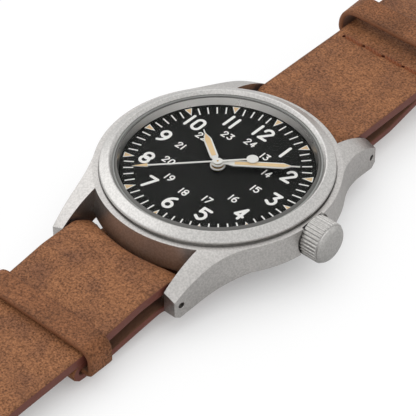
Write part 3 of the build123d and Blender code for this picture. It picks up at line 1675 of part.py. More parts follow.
pieces = {
    "mid_case": mid_case,
    "bezel": bezel,
    "crystal": crystal,
    "crystal_gasket": crystal_gasket,
    "flange_ring": flange_ring,
    "case_back": case_back,
    "case_back_gasket": back_gasket,
    "crown_tube": crown_tube,
    "crown": crown,
    "crown_gasket": crown_gasket,
    "winding_stem": winding_stem,
    "winding_pinion": winding_pinion,
    "sliding_pinion": sliding_pinion,
    "movement_ring": movement_ring,
    "spring_bars": spring_bars,
    "dial": dial,
    "dial_print": dial_print,
    "dial_lume": dial_lume,
    "hour_hand": hour_hand,
    "hour_hand_lume": hour_lume,
    "minute_hand": minute_hand,
    "minute_hand_lume": minute_lume,
    "seconds_hand": seconds_hand,
    "seconds_hand_lume": seconds_lume,
    "main_plate": main_plate,
    "barrel_bridge": barrel_bridge,
    "train_bridge": train_bridge,
    "balance_cock": balance_cock,
    "pallet_bridge": pallet_bridge,
    "mainspring_barrel": barrel,
    "mainspring": mainspring,
    "barrel_arbor": barrel_arbor,
    "ratchet_wheel": ratchet_wheel,
    "crown_wheel": crown_wheel,
    "click": click,
    "setting_lever": setting_lever,
    "centre_wheel": centre_wheel,
    "cannon_pinion": cannon_pinion,
    "third_wheel": third_wheel,
    "fourth_wheel": fourth_wheel,
    "escape_wheel": escape_wheel,
    "pallet_fork": pallet_fork,
    "balance_wheel": balance_wheel,
    "hairspring": hairspring,
    "minute_wheel": minute_wheel,
    "hour_wheel": hour_wheel,
    "movement_screws": movement_screws,
    "jewels": jewels,
    "strap": strap,
    "under_strap": under_strap,
    "end_keeper": end_keeper,
    "fixed_keeper": fixed_keeper,
    "stitching": stitching,
    "buckle_frame": buckle_frame,
    "buckle_bar": buckle_bar,
    "buckle_tongue": buckle_tongue,
}

os.makedirs("parts", exist_ok=True)
for node, make in pieces.items():
    save(node, make())
for row, sy in (("12", 1), ("6", -1)):
    for hand_side, sx in (("right", 1), ("left", -1)):
        save(f"bar_pin_{row}_{hand_side}", bar_pin(sx, sy))
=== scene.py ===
"""Field watch on a folded leather strap, dressed and lit as one studio photograph.

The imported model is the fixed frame. The leather and its thread are modelled here, and every
other node keeps its solid and gets the finish of the real part. Lengths are in millimetres,
which MM turns to metres, except in the studio.
"""

import logging
import math
from dataclasses import dataclass
from enum import Enum

import bpy
from mathutils import Matrix, Vector
from mathutils.geometry import interpolate_bezier


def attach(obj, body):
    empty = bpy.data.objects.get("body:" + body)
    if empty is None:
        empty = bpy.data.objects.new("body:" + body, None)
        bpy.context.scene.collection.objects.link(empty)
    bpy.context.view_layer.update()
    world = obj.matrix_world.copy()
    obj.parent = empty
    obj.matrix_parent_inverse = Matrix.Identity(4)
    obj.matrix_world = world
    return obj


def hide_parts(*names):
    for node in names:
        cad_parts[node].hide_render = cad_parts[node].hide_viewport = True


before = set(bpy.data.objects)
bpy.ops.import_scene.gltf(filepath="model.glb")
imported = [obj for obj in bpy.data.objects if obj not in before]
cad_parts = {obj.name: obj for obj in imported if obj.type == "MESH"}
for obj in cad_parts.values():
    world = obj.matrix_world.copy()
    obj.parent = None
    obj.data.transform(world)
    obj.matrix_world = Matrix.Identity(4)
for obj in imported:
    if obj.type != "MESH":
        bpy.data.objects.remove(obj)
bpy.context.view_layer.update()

MM = 0.001
LOG = logging.getLogger("field_watch")
Colour = tuple[float, float, float, float]
Point = tuple[float, float, float]
Hole = tuple[float, float, float]

CURVE_STEPS = 24
# Handles at a route's open ends, as a share of the first or last run.
END_SHARE = 0.01
SMOOTH_ANGLE = math.radians(50)
UV_PER_METRE = 100
TINY = 1e-18
# Seams at the fixed keeper and at the buckle's fold, and the needle holes across the strap.
KEEPER_SEAM_Y = 39.602
FOLD_SEAM_Y = 59.484
NEEDLES_X = (-8, -4, 0, 4, 8)
NEEDLE_D = 0.62


def srgb(code: str) -> Colour:
    """Turn an sRGB hex value into the linear colour that a shader takes.

    Args:
        code: Six hex digits after a hash, such as "#8f6348".

    Returns:
        Linear red, green, blue and an alpha of 1.
    """
    parts = [int(code[i : i + 2], 16) / 255 for i in (1, 3, 5)]
    line = [c / 12.92 if c <= 0.04045 else ((c + 0.055) / 1.055) ** 2.4 for c in parts]
    return line[0], line[1], line[2], 1.0


def grey(level: float) -> Colour:
    """Neutral linear colour of one level."""
    return level, level, level, 1.0


def darker(code: str, share: float) -> Colour:
    """Linear colour of a hex value at a share of its level."""
    red, green, blue, _ = srgb(code)
    return red * share, green * share, blue * share, 1.0


def per(size: float) -> float:
    """Scale of a pattern whose features are this many millimetres across."""
    return 1 / (size * MM)


def clamp(value: float) -> float:
    """The value, held between 0 and 1."""
    return min(max(value, 0), 1)


def node(
    tree: bpy.types.NodeTree, kind: str, inputs: dict | None = None, **settings
) -> bpy.types.Node:
    """Add a node, set it up and link or fill its inputs.

    Args:
        tree: Node tree that the node goes into.
        kind: Blender's type name of the node.
        inputs: Socket name or number to a value, or to what feeds it: an output socket, or a
            node, which stands for its first output in use.
        settings: Properties of the node. "stops" fills a colour ramp with (place, colour) pairs.

    Returns:
        The new node.
    """
    made = tree.nodes.new(kind)
    stops = settings.pop("stops", ())
    for name, value in settings.items():
        setattr(made, name, value)
    for number, (place, colour) in enumerate(stops):
        ramp = made.color_ramp.elements
        stop = ramp[number] if number < 2 else ramp.new(place)
        stop.position, stop.color = place, colour
    for socket, value in (inputs or {}).items():
        if isinstance(value, bpy.types.Node):
            value = next(output for output in value.outputs if output.enabled)
        if isinstance(value, bpy.types.NodeSocket):
            tree.links.new(value, made.inputs[socket])
        else:
            made.inputs[socket].default_value = value
    return made


class Layer(Enum):
    """Material slot of each face group of a leather band."""

    FLESH = 0
    GRAIN = 1
    EDGE = 2


@dataclass(frozen=True)
class Finish:
    """A surface finish. Its material is made once and shared."""

    name: str

    def material(self) -> bpy.types.Material:
        """The finish's material, made on its first use.

        Returns:
            The material with its node tree filled.
        """
        made = bpy.data.materials.get(self.name)
        if made is None:
            made = bpy.data.materials.new(self.name)
            made.use_nodes = True
            tree = made.node_tree
            tree.nodes.clear()
            node(tree, "ShaderNodeOutputMaterial", {"Surface": self.paint(tree)})
        return made

    def paint(self, tree: bpy.types.NodeTree) -> bpy.types.Node:
        """Fill the node tree. Each finish has its own way.

        Args:
            tree: The material's empty node tree.

        Returns:
            The shader of the finished surface.
        """
        raise NotImplementedError


@dataclass(frozen=True)
class Steel(Finish):
    """316L stainless steel, blasted or satin. Brass and other steels are finished alike.

    Blasting leaves fine matt grit, so highlights spread wide and edges stay soft.
    """

    colour: str = "#c1bebb"
    roughness: float = 0.36
    grit: float = 0.3
    depth: float = 0.006
    worn_edge: float = 0.1

    def paint(self, tree: bpy.types.NodeTree) -> bpy.types.Node:
        """Grit in the bump, and handling marks in the roughness."""
        place = node(tree, "ShaderNodeTexCoord").outputs["Object"]
        # Real blasting grit is about 0.1 mm. It is drawn at 0.3 mm so that it shows.
        size = per(self.grit)
        grit = node(tree, "ShaderNodeTexNoise", {"Vector": place, "Scale": size, "Detail": 4.0})
        haze = node(tree, "ShaderNodeTexNoise", {"Vector": place, "Scale": per(5), "Detail": 3.0})
        speck = node(
            tree, "ShaderNodeMapRange", {"Value": grit, "From Min": 0.38, "From Max": 0.62}
        )
        pale, dark = srgb(self.colour), darker(self.colour, 0.8)
        tone = node(tree, "ShaderNodeMix", {0: speck, 6: pale, 7: dark}, data_type="RGBA")
        low, high = self.roughness - 0.05, self.roughness + 0.07
        rough = node(tree, "ShaderNodeMapRange", {"Value": haze, "To Min": low, "To Max": high})
        edge = node(tree, "ShaderNodeBevel", {"Radius": self.worn_edge * MM}, samples=6)
        deep = self.depth * MM
        relief = {"Height": grit, "Normal": edge, "Strength": 0.6, "Distance": deep}
        bump = node(tree, "ShaderNodeBump", relief)
        look = {"Base Color": tone, "Metallic": 1.0, "Roughness": rough, "Normal": bump}
        return node(tree, "ShaderNodeBsdfPrincipled", look)


@dataclass(frozen=True)
class TurnedSteel(Finish):
    """Stainless steel brushed on a lathe: fine lines round the watch's axis catch the light."""

    colour: str = "#c2c0bd"
    roughness: float = 0.27
    line: float = 0.09
    depth: float = 0.004
    drop: float = 0.6

    def paint(self, tree: bpy.types.NodeTree) -> bpy.types.Node:
        """Lines that depend only on the distance from the axis and, less, on the height."""
        place = node(tree, "ShaderNodeTexCoord").outputs["Object"]
        axes = node(tree, "ShaderNodeSeparateXYZ", {0: place}).outputs
        flat = node(tree, "ShaderNodeCombineXYZ", {0: axes[0], 1: axes[1]})
        radius = node(tree, "ShaderNodeVectorMath", {0: flat}, operation="LENGTH")
        down = node(tree, "ShaderNodeMath", {0: axes[2], 1: self.drop}, operation="MULTIPLY")
        way = node(tree, "ShaderNodeMath", {0: radius, 1: down}, operation="ADD")
        drawn = {"W": way, "Scale": per(self.line), "Detail": 2.0}
        lines = node(tree, "ShaderNodeTexNoise", drawn, noise_dimensions="1D")
        haze = node(tree, "ShaderNodeTexNoise", {"Vector": place, "Scale": per(3), "Detail": 4.0})
        both = node(tree, "ShaderNodeMath", {0: lines, 1: haze}, operation="MULTIPLY")
        pale, dark = srgb(self.colour), darker(self.colour, 0.8)
        tone = node(tree, "ShaderNodeMix", {0: both, 6: pale, 7: dark}, data_type="RGBA")
        low, high = self.roughness - 0.04, self.roughness + 0.08
        rough = node(tree, "ShaderNodeMapRange", {"Value": haze, "To Min": low, "To Max": high})
        deep = self.depth * MM
        bump = node(tree, "ShaderNodeBump", {"Height": lines, "Strength": 0.5, "Distance": deep})
        look = {"Base Color": tone, "Metallic": 1.0, "Roughness": rough, "Normal": bump}
        return node(tree, "ShaderNodeBsdfPrincipled", look)


@dataclass(frozen=True)
class Paint(Finish):
    """Lacquer, pad print, luminous paint, edge paint, rubber or moulded plastic.

    All are dull layers whose colour clouds a little and whose surface carries a fine grain.
    """

    colour: str
    cloud: str
    roughness: float = 0.6
    grain: float = 0.25
    depth: float = 0.01
    shine: float = 0.3

    def paint(self, tree: bpy.types.NodeTree) -> bpy.types.Node:
        """Clouded colour under a fine grain."""
        place = node(tree, "ShaderNodeTexCoord").outputs["Object"]
        size = per(self.grain)
        grain = node(tree, "ShaderNodeTexNoise", {"Vector": place, "Scale": size, "Detail": 3.0})
        size = per(2.5)
        cloud = node(tree, "ShaderNodeTexNoise", {"Vector": place, "Scale": size, "Detail": 3.0})
        first, second = srgb(self.colour), srgb(self.cloud)
        tone = node(tree, "ShaderNodeMix", {0: cloud, 6: first, 7: second}, data_type="RGBA")
        low, high = self.roughness - 0.08, self.roughness + 0.08
        rough = node(tree, "ShaderNodeMapRange", {"Value": grain, "To Min": low, "To Max": high})
        deep = self.depth * MM
        bump = node(tree, "ShaderNodeBump", {"Height": grain, "Strength": 0.5, "Distance": deep})
        look = {"Base Color": tone, "Roughness": rough, "Normal": bump}
        shine = {"Specular IOR Level": self.shine}
        return node(tree, "ShaderNodeBsdfPrincipled", look | shine)


@dataclass(frozen=True)
class CoatedGlass(Finish):
    """Mineral crystal glass, polished and coated against glare: clear, with a faint reflection.

    Its bevelled rim, which throws the room back from inside, is painted a solid grey instead: a
    painted reflection.
    """

    name: str = "mineral_crystal_glass"
    ior: float = 1.52
    coating: float = 0.97
    bevel_from: float = 14.86
    # Grey painted on the bevelled rim as the room's reflection, not a colour of the glass.
    rim: str = "#747370"

    def paint(self, tree: bpy.types.NodeTree) -> bpy.types.Node:
        """Clear glass that lets lamp light through to the dial."""
        place = node(tree, "ShaderNodeTexCoord").outputs["Object"]
        smear = node(tree, "ShaderNodeTexNoise", {"Vector": place, "Scale": per(4), "Detail": 2.0})
        rough = node(tree, "ShaderNodeMapRange", {"Value": smear, "To Min": 0.0, "To Max": 0.03})
        white = srgb("#ffffff")
        look = {"Base Color": white, "Roughness": rough, "IOR": self.ior}
        glass = node(tree, "ShaderNodeBsdfPrincipled", look | {"Transmission Weight": 1.0})
        # The coating takes most of the reflection away, which is glass that only refracts.
        bare = {"Color": white, "Roughness": 0.0, "IOR": self.ior}
        calm = node(tree, "ShaderNodeBsdfRefraction", bare)
        coated = node(tree, "ShaderNodeMixShader", {0: self.coating, 1: glass, 2: calm})
        # Beyond the bevel's start the glass is swapped for opaque grey, a painted reflection of the
        # room.
        axes = node(tree, "ShaderNodeSeparateXYZ", {0: place}).outputs
        plan = node(tree, "ShaderNodeCombineXYZ", {0: axes[0], 1: axes[1]})
        radius = node(tree, "ShaderNodeVectorMath", {0: plan}, operation="LENGTH")
        start = self.bevel_from * MM
        rim = node(tree, "ShaderNodeMath", {0: radius, 1: start}, operation="GREATER_THAN")
        dull = {"Base Color": srgb(self.rim), "Roughness": 0.3, "Specular IOR Level": 0.5}
        painted_rim_reflection = node(tree, "ShaderNodeBsdfPrincipled", dull)
        rimmed = node(tree, "ShaderNodeMixShader", {0: rim, 1: coated, 2: painted_rim_reflection})
        clear = node(tree, "ShaderNodeBsdfTransparent")
        ray = node(tree, "ShaderNodeLightPath").outputs
        rays = {0: ray["Is Shadow Ray"], 1: ray["Is Diffuse Ray"]}
        soft = node(tree, "ShaderNodeMath", rays, operation="MAXIMUM")
        return node(tree, "ShaderNodeMixShader", {0: soft, 1: rimmed, 2: clear})


@dataclass(frozen=True)
class Ruby(Finish):
    """Synthetic ruby, polished: deep red and glossy."""

    name: str = "synthetic_ruby"

    def paint(self, tree: bpy.types.NodeTree) -> bpy.types.Node:
        """Red stone, a little uneven in its depth of colour."""
        place = node(tree, "ShaderNodeTexCoord").outputs["Object"]
        depth = node(tree, "ShaderNodeTexNoise", {"Vector": place, "Scale": per(0.6)})
        deep, pale = srgb("#a4123c"), srgb("#c2284f")
        tone = node(tree, "ShaderNodeMix", {0: depth, 6: deep, 7: pale}, data_type="RGBA")
        look = {"Base Color": tone, "Roughness": 0.08, "IOR": 1.77, "Transmission Weight": 0.4}
        return node(tree, "ShaderNodeBsdfPrincipled", look)


@dataclass(frozen=True)
class Leather(Finish):
    """Oiled cowhide, grain side.

    The oil leaves soft darker patches, pores hold dark flecks, and cut margins are burnished.
    """

    body: str = "#b97e55"
    patch: str = "#966548"
    fleck: str = "#452c20"
    hollow: str = "#989089"
    half: float = 9.55
    margin: float = 0.6
    roughness: float = 0.56
    depth: float = 0.09

    def paint(self, tree: bpy.types.NodeTree) -> bpy.types.Node:
        """Soft patches, dense grain, pores and burnished margins."""
        place = node(tree, "ShaderNodeTexCoord").outputs["Object"]
        spread = {"Vector": place, "Scale": per(6), "Detail": 3.0, "Roughness": 0.6}
        patch = node(tree, "ShaderNodeTexNoise", spread)
        soft = node(
            tree, "ShaderNodeMapRange", {"Value": patch, "From Min": 0.42, "From Max": 0.68}
        )
        body, oiled = srgb(self.body), srgb(self.patch)
        base = node(tree, "ShaderNodeMix", {0: soft, 6: body, 7: oiled}, data_type="RGBA")
        # The grain of cowhide is a net of 0.2 to 0.4 mm.
        mesh = {"Vector": place, "Scale": per(0.3), "Detail": 3.0, "Roughness": 0.65}
        net = node(tree, "ShaderNodeTexNoise", mesh)
        stops = ((0.34, srgb(self.hollow)), (0.64, grey(1.0)))
        shade = node(tree, "ShaderNodeValToRGB", {0: net}, stops=stops)
        grained = node(
            tree,
            "ShaderNodeMix",
            {0: 1.0, 6: base, 7: shade},
            data_type="RGBA",
            blend_type="MULTIPLY",
        )
        # Pores of cowhide are about 0.5 mm apart.
        apart = {"Vector": place, "Scale": per(0.55), "Randomness": 1.0}
        pores = node(tree, "ShaderNodeTexVoronoi", apart)
        dots = node(
            tree, "ShaderNodeMapRange", {"Value": pores, "From Min": 0.36, "From Max": 0.14}
        )
        dim = node(tree, "ShaderNodeMath", {0: dots, 1: 0.4}, operation="MULTIPLY")
        fleck = srgb(self.fleck)
        speckled = node(tree, "ShaderNodeMix", {0: dim, 6: grained, 7: fleck}, data_type="RGBA")
        flat = node(tree, "ShaderNodeUVMap", uv_map="flat")
        across = node(tree, "ShaderNodeSeparateXYZ", {0: flat}).outputs[1]
        off = node(tree, "ShaderNodeMath", {0: across}, operation="ABSOLUTE")
        rim = self.half * MM * UV_PER_METRE
        start = rim - self.margin * MM * UV_PER_METRE
        reach = {"Value": off, "From Min": start, "From Max": rim, "To Max": 0.3}
        margin = node(tree, "ShaderNodeMapRange", reach)
        burnt = node(tree, "ShaderNodeMix", {0: margin, 6: speckled, 7: fleck}, data_type="RGBA")
        low, high = self.roughness + 0.1, self.roughness - 0.06
        rough = node(tree, "ShaderNodeMapRange", {"Value": net, "To Min": low, "To Max": high})
        sunk = node(tree, "ShaderNodeMath", {0: net, 1: dots}, operation="SUBTRACT")
        deep = self.depth * MM
        bump = node(tree, "ShaderNodeBump", {"Height": sunk, "Strength": 0.6, "Distance": deep})
        look = {"Base Color": burnt, "Roughness": rough, "Normal": bump}
        return node(tree, "ShaderNodeBsdfPrincipled", look | {"Specular IOR Level": 0.2})


@dataclass(frozen=True)
class Flesh(Finish):
    """Flesh side of the cowhide, shaved: short fibres, matt and a little fuzzy."""

    name: str = "cowhide_flesh_side"
    body: str = "#6d4a38"
    pale: str = "#84604a"
    depth: float = 0.12

    def paint(self, tree: bpy.types.NodeTree) -> bpy.types.Node:
        """Fibres of about 0.35 mm, drawn out along the strap."""
        place = node(tree, "ShaderNodeTexCoord").outputs["Object"]
        drawn = node(tree, "ShaderNodeMapping", {"Vector": place, "Scale": (1.0, 0.35, 1.0)})
        size = per(0.35)
        fibre = node(tree, "ShaderNodeTexNoise", {"Vector": drawn, "Scale": size, "Detail": 5.0})
        body, pale = srgb(self.body), srgb(self.pale)
        tone = node(tree, "ShaderNodeMix", {0: fibre, 6: body, 7: pale}, data_type="RGBA")
        deep = self.depth * MM
        bump = node(tree, "ShaderNodeBump", {"Height": fibre, "Strength": 0.7, "Distance": deep})
        look = {"Base Color": tone, "Roughness": 0.85, "Normal": bump}
        fuzz = {"Sheen Weight": 0.15, "Specular IOR Level": 0.15}
        return node(tree, "ShaderNodeBsdfPrincipled", look | fuzz)


@dataclass(frozen=True)
class Thread(Finish):
    """Waxed polyester thread, two plies twisted: a soft shine with fibres along each ply."""

    name: str = "waxed_thread"
    colour: str = "#9c5629"
    dark: str = "#733d1d"
    depth: float = 0.03

    def paint(self, tree: bpy.types.NodeTree) -> bpy.types.Node:
        """Fine fibres and darker wax in the hollows."""
        place = node(tree, "ShaderNodeTexCoord").outputs["Object"]
        size = per(0.16)
        fibre = node(tree, "ShaderNodeTexNoise", {"Vector": place, "Scale": size, "Detail": 3.0})
        dark, pale = srgb(self.dark), srgb(self.colour)
        tone = node(tree, "ShaderNodeMix", {0: fibre, 6: dark, 7: pale}, data_type="RGBA")
        deep = self.depth * MM
        bump = node(tree, "ShaderNodeBump", {"Height": fibre, "Strength": 0.5, "Distance": deep})
        look = {"Base Color": tone, "Roughness": 0.45, "Normal": bump}
        return node(tree, "ShaderNodeBsdfPrincipled", look | {"Specular IOR Level": 0.4})


@dataclass(frozen=True)
class TableBoard(Finish):
    """White card under the watch, matt. To the camera it glows near white, less near the watch,
    where ambient occlusion fades the glow: a painted shadow.
    """

    name: str = "white_table_board"
    white: float = 1.02
    in_metal: float = 0.05
    shade_reach: float = 30.0
    open_from: float = 0.1
    open_to: float = 0.85
    glow_low: float = 0.2
    glow_high: float = 0.95

    def paint(self, tree: bpy.types.NodeTree) -> bpy.types.Node:
        """Card that is lit like any other, under a share of plain white that ambient occlusion
        fades near the watch: painted shadow over the card's real one.
        """
        ray = node(tree, "ShaderNodeLightPath").outputs
        eyes = {0: ray["Is Camera Ray"], 1: ray["Is Transmission Ray"]}
        seen = node(tree, "ShaderNodeMath", eyes, operation="MAXIMUM")
        metal = {0: ray["Is Glossy Ray"], 1: self.in_metal}
        mirrored = node(tree, "ShaderNodeMath", metal, operation="MULTIPLY")
        share = node(tree, "ShaderNodeMath", {0: seen, 1: mirrored}, operation="MAXIMUM")
        reach = self.shade_reach * MM
        # Painted shadow: the white glow drops where ambient occlusion finds the watch close.
        near = node(tree, "ShaderNodeAmbientOcclusion", {"Distance": reach}, samples=16)
        light = {"Value": near.outputs["AO"], "From Min": self.open_from, "From Max": self.open_to}
        levels = {"To Min": self.glow_low, "To Max": self.glow_high}
        painted_shadow_glow = node(tree, "ShaderNodeMapRange", light | levels)
        fade = node(tree, "ShaderNodeMath", {0: share, 1: painted_shadow_glow}, operation="MULTIPLY")
        board = node(tree, "ShaderNodeBsdfDiffuse", {"Color": srgb("#f4f4f4")})
        white = node(tree, "ShaderNodeEmission", {"Color": grey(1.0), "Strength": self.white})
        return node(tree, "ShaderNodeMixShader", {0: fade, 1: board, 2: white})


BLASTED = Steel("blasted_stainless_steel")
SATIN = Steel("satin_stainless_steel", "#b9b7b4", roughness=0.32, depth=0.003)
POLISHED = Steel("polished_steel", "#cdccca", roughness=0.16, grit=0.5, depth=0.001)
PLATED = Steel("rhodium_plated_brass", "#c8c9cb", roughness=0.28, depth=0.002)
BLUED = Steel("blued_steel", "#2c3c70", roughness=0.25, depth=0.001)
BRASS = Steel("cut_brass", "#c9a55c", roughness=0.27, depth=0.002)
BEZEL = Steel("fine_blasted_stainless_steel", "#c8c6c3", roughness=0.33, grit=0.28)
TURNED = TurnedSteel("turned_stainless_steel")
LACQUER = Paint("matt_black_lacquer", "#131412", "#171816", roughness=0.55, shine=0.1)
PRINT = Paint("white_pad_print", "#fdfcf9", "#f3f2ee", grain=0.15)
LUME = Paint("tan_luminous_paint", "#efd2a4", "#e0c08f", roughness=0.75, grain=0.12, depth=0.03)
WHITE = Paint("satin_white_hand_paint", "#ecebe6", "#e2e1dc", roughness=0.4, shine=0.5)
NYLON = Paint("pale_nylon", "#9a9b98", "#a7a8a5", roughness=0.45, shine=0.4)
RUBBER = Paint("seal_rubber", "#171717", "#1e1e1e", roughness=0.7)
PLASTIC = Paint("moulded_black_acetal", "#1d1d1e", "#232324", roughness=0.45, shine=0.5)
GRAIN = Leather("oiled_cowhide_grain")
KEEPER_GRAIN = Leather("oiled_cowhide_keeper", "#ab714b", "#8f5e3e", half=2.15)
EDGE = Paint(
    "edge_paint_brown", "#65352a", "#784235", roughness=0.5, grain=0.4, depth=0.05, shine=0.4
)
CUT = Paint("burnished_cut_leather", "#8a5c40", "#75492f", grain=0.3, depth=0.06, shine=0.25)
FLESH = Flesh()
THREAD = Thread()
GLASS = CoatedGlass()
RUBY = Ruby()
BOARD = TableBoard()


@dataclass(frozen=True)
class Route:
    """Path that a leather band follows: straight runs joined by arcs.

    Points are in millimetres. A closed route starts in the middle of its last run.
    """

    points: tuple[Point, ...]
    radii: tuple[float, ...]
    closed: bool = False

    def knots(self) -> list[tuple[Vector, Vector, Vector]]:
        """Bezier points of the path.

        Returns:
            Each point with its left and right handles, in metres.
        """
        places = [Vector(p) * MM for p in self.points]
        count = len(places)
        found = []
        if not self.closed:
            first = places[0]
            back, ahead = (first.lerp(places[1], share) for share in (-END_SHARE, END_SHARE))
            found.append((first, back, ahead))
        corners = range(count) if self.closed else range(1, count - 1)
        for radius, number in zip(self.radii, corners, strict=True):
            corner = places[number]
            back = (places[number - 1] - corner).normalized()
            ahead = (places[(number + 1) % count] - corner).normalized()
            turn = math.pi - back.angle(ahead)
            reach = radius * MM * math.tan(turn / 2)
            # A Bezier curve with handles of this length follows a circle's arc.
            handle = 4 / 3 * math.tan(turn / 4) * radius * MM
            start, end = corner + back * reach, corner + ahead * reach
            found.append((start, start + back * handle, start - back * handle))
            found.append((end, end - ahead * handle, end + ahead * handle))
        if not self.closed:
            last = places[-1]
            back, ahead = (last.lerp(places[-2], share) for share in (END_SHARE, -END_SHARE))
            found.append((last, back, ahead))
        return found

    def curve(self, name: str) -> bpy.types.Object:
        """Curve object of the path.

        Args:
            name: Name of the object.

        Returns:
            The curve, linked to the scene.
        """
        data = bpy.data.curves.new(name, "CURVE")
        data.dimensions, data.twist_mode, data.resolution_u = "3D", "MINIMUM", CURVE_STEPS
        spline = data.splines.new("BEZIER")
        knots = self.knots()
        spline.bezier_points.add(len(knots) - 1)
        spline.use_cyclic_u = self.closed
        for point, (place, left, right) in zip(spline.bezier_points, knots):
            point.handle_left_type = point.handle_right_type = "FREE"
            point.co, point.handle_left, point.handle_right = place, left, right
        made = bpy.data.objects.new(name, data)
        bpy.context.scene.collection.objects.link(made)
        return made

    def trail(self) -> list[tuple[float, Vector]]:
        """Places along the path with their distance from its start, in metres.

        Returns:
            Pairs of distance and place.
        """
        knots = self.knots()
        if self.closed:
            knots.append(knots[0])
        distance, found = 0.0, [(0.0, knots[0][0])]
        for (start, _, leave), (end, arrive, _) in zip(knots, knots[1:]):
            for place in interpolate_bezier(start, leave, arrive, end, CURVE_STEPS + 1)[1:]:
                distance += (place - found[-1][1]).length
                found.append((distance, place))
        return found

    def length(self) -> float:
        """Length of the path in metres."""
        return self.trail()[-1][0]

    def distance_to(self, y: float, z: float) -> float:
        """How far along the path the place nearest to (y, z) lies.

        Args:
            y: Place towards 12 o'clock, in millimetres.
            z: Height, in millimetres.

        Returns:
            Distance from the start, in metres.
        """
        aim = Vector((0, y * MM, z * MM))
        trail = self.trail()
        best, answer = math.inf, 0.0
        for (near, a), (far, b) in zip(trail, trail[1:]):
            run = b - a
            share = clamp((aim - a).dot(run) / max(run.length_squared, TINY))
            gap = (a + run * share - aim).length
            if gap < best:
                best, answer = gap, near + (far - near) * share
        return answer


def only(thing: bpy.types.Object) -> None:
    """Make one object the only one selected, and active."""
    bpy.ops.object.select_all(action="DESELECT")
    thing.select_set(True)
    bpy.context.view_layer.objects.active = thing


def joined(things: list[bpy.types.Object]) -> bpy.types.Object:
    """Join objects into the first of them.

    Args:
        things: One object or more.

    Returns:
        The first object, which holds all their meshes.
    """
    only(things[0])
    for thing in things:
        thing.select_set(True)
    if len(things) > 1:
        bpy.ops.object.join()
    return things[0]


def apply(thing: bpy.types.Object, kind: str, **settings) -> None:
    """Add a modifier and apply it.

    Args:
        thing: Object that gets it.
        kind: Type of the modifier.
        settings: Its properties.
    """
    only(thing)
    added = thing.modifiers.new(kind.lower(), kind)
    for name, value in settings.items():
        setattr(added, name, value)
    bpy.ops.object.modifier_apply(modifier=added.name)


def edit_all(thing: bpy.types.Object) -> None:
    """Open an object's mesh for editing, with all of it selected."""
    bpy.context.view_layer.objects.active = thing
    bpy.ops.object.mode_set(mode="EDIT")
    bpy.ops.mesh.select_all(action="SELECT")


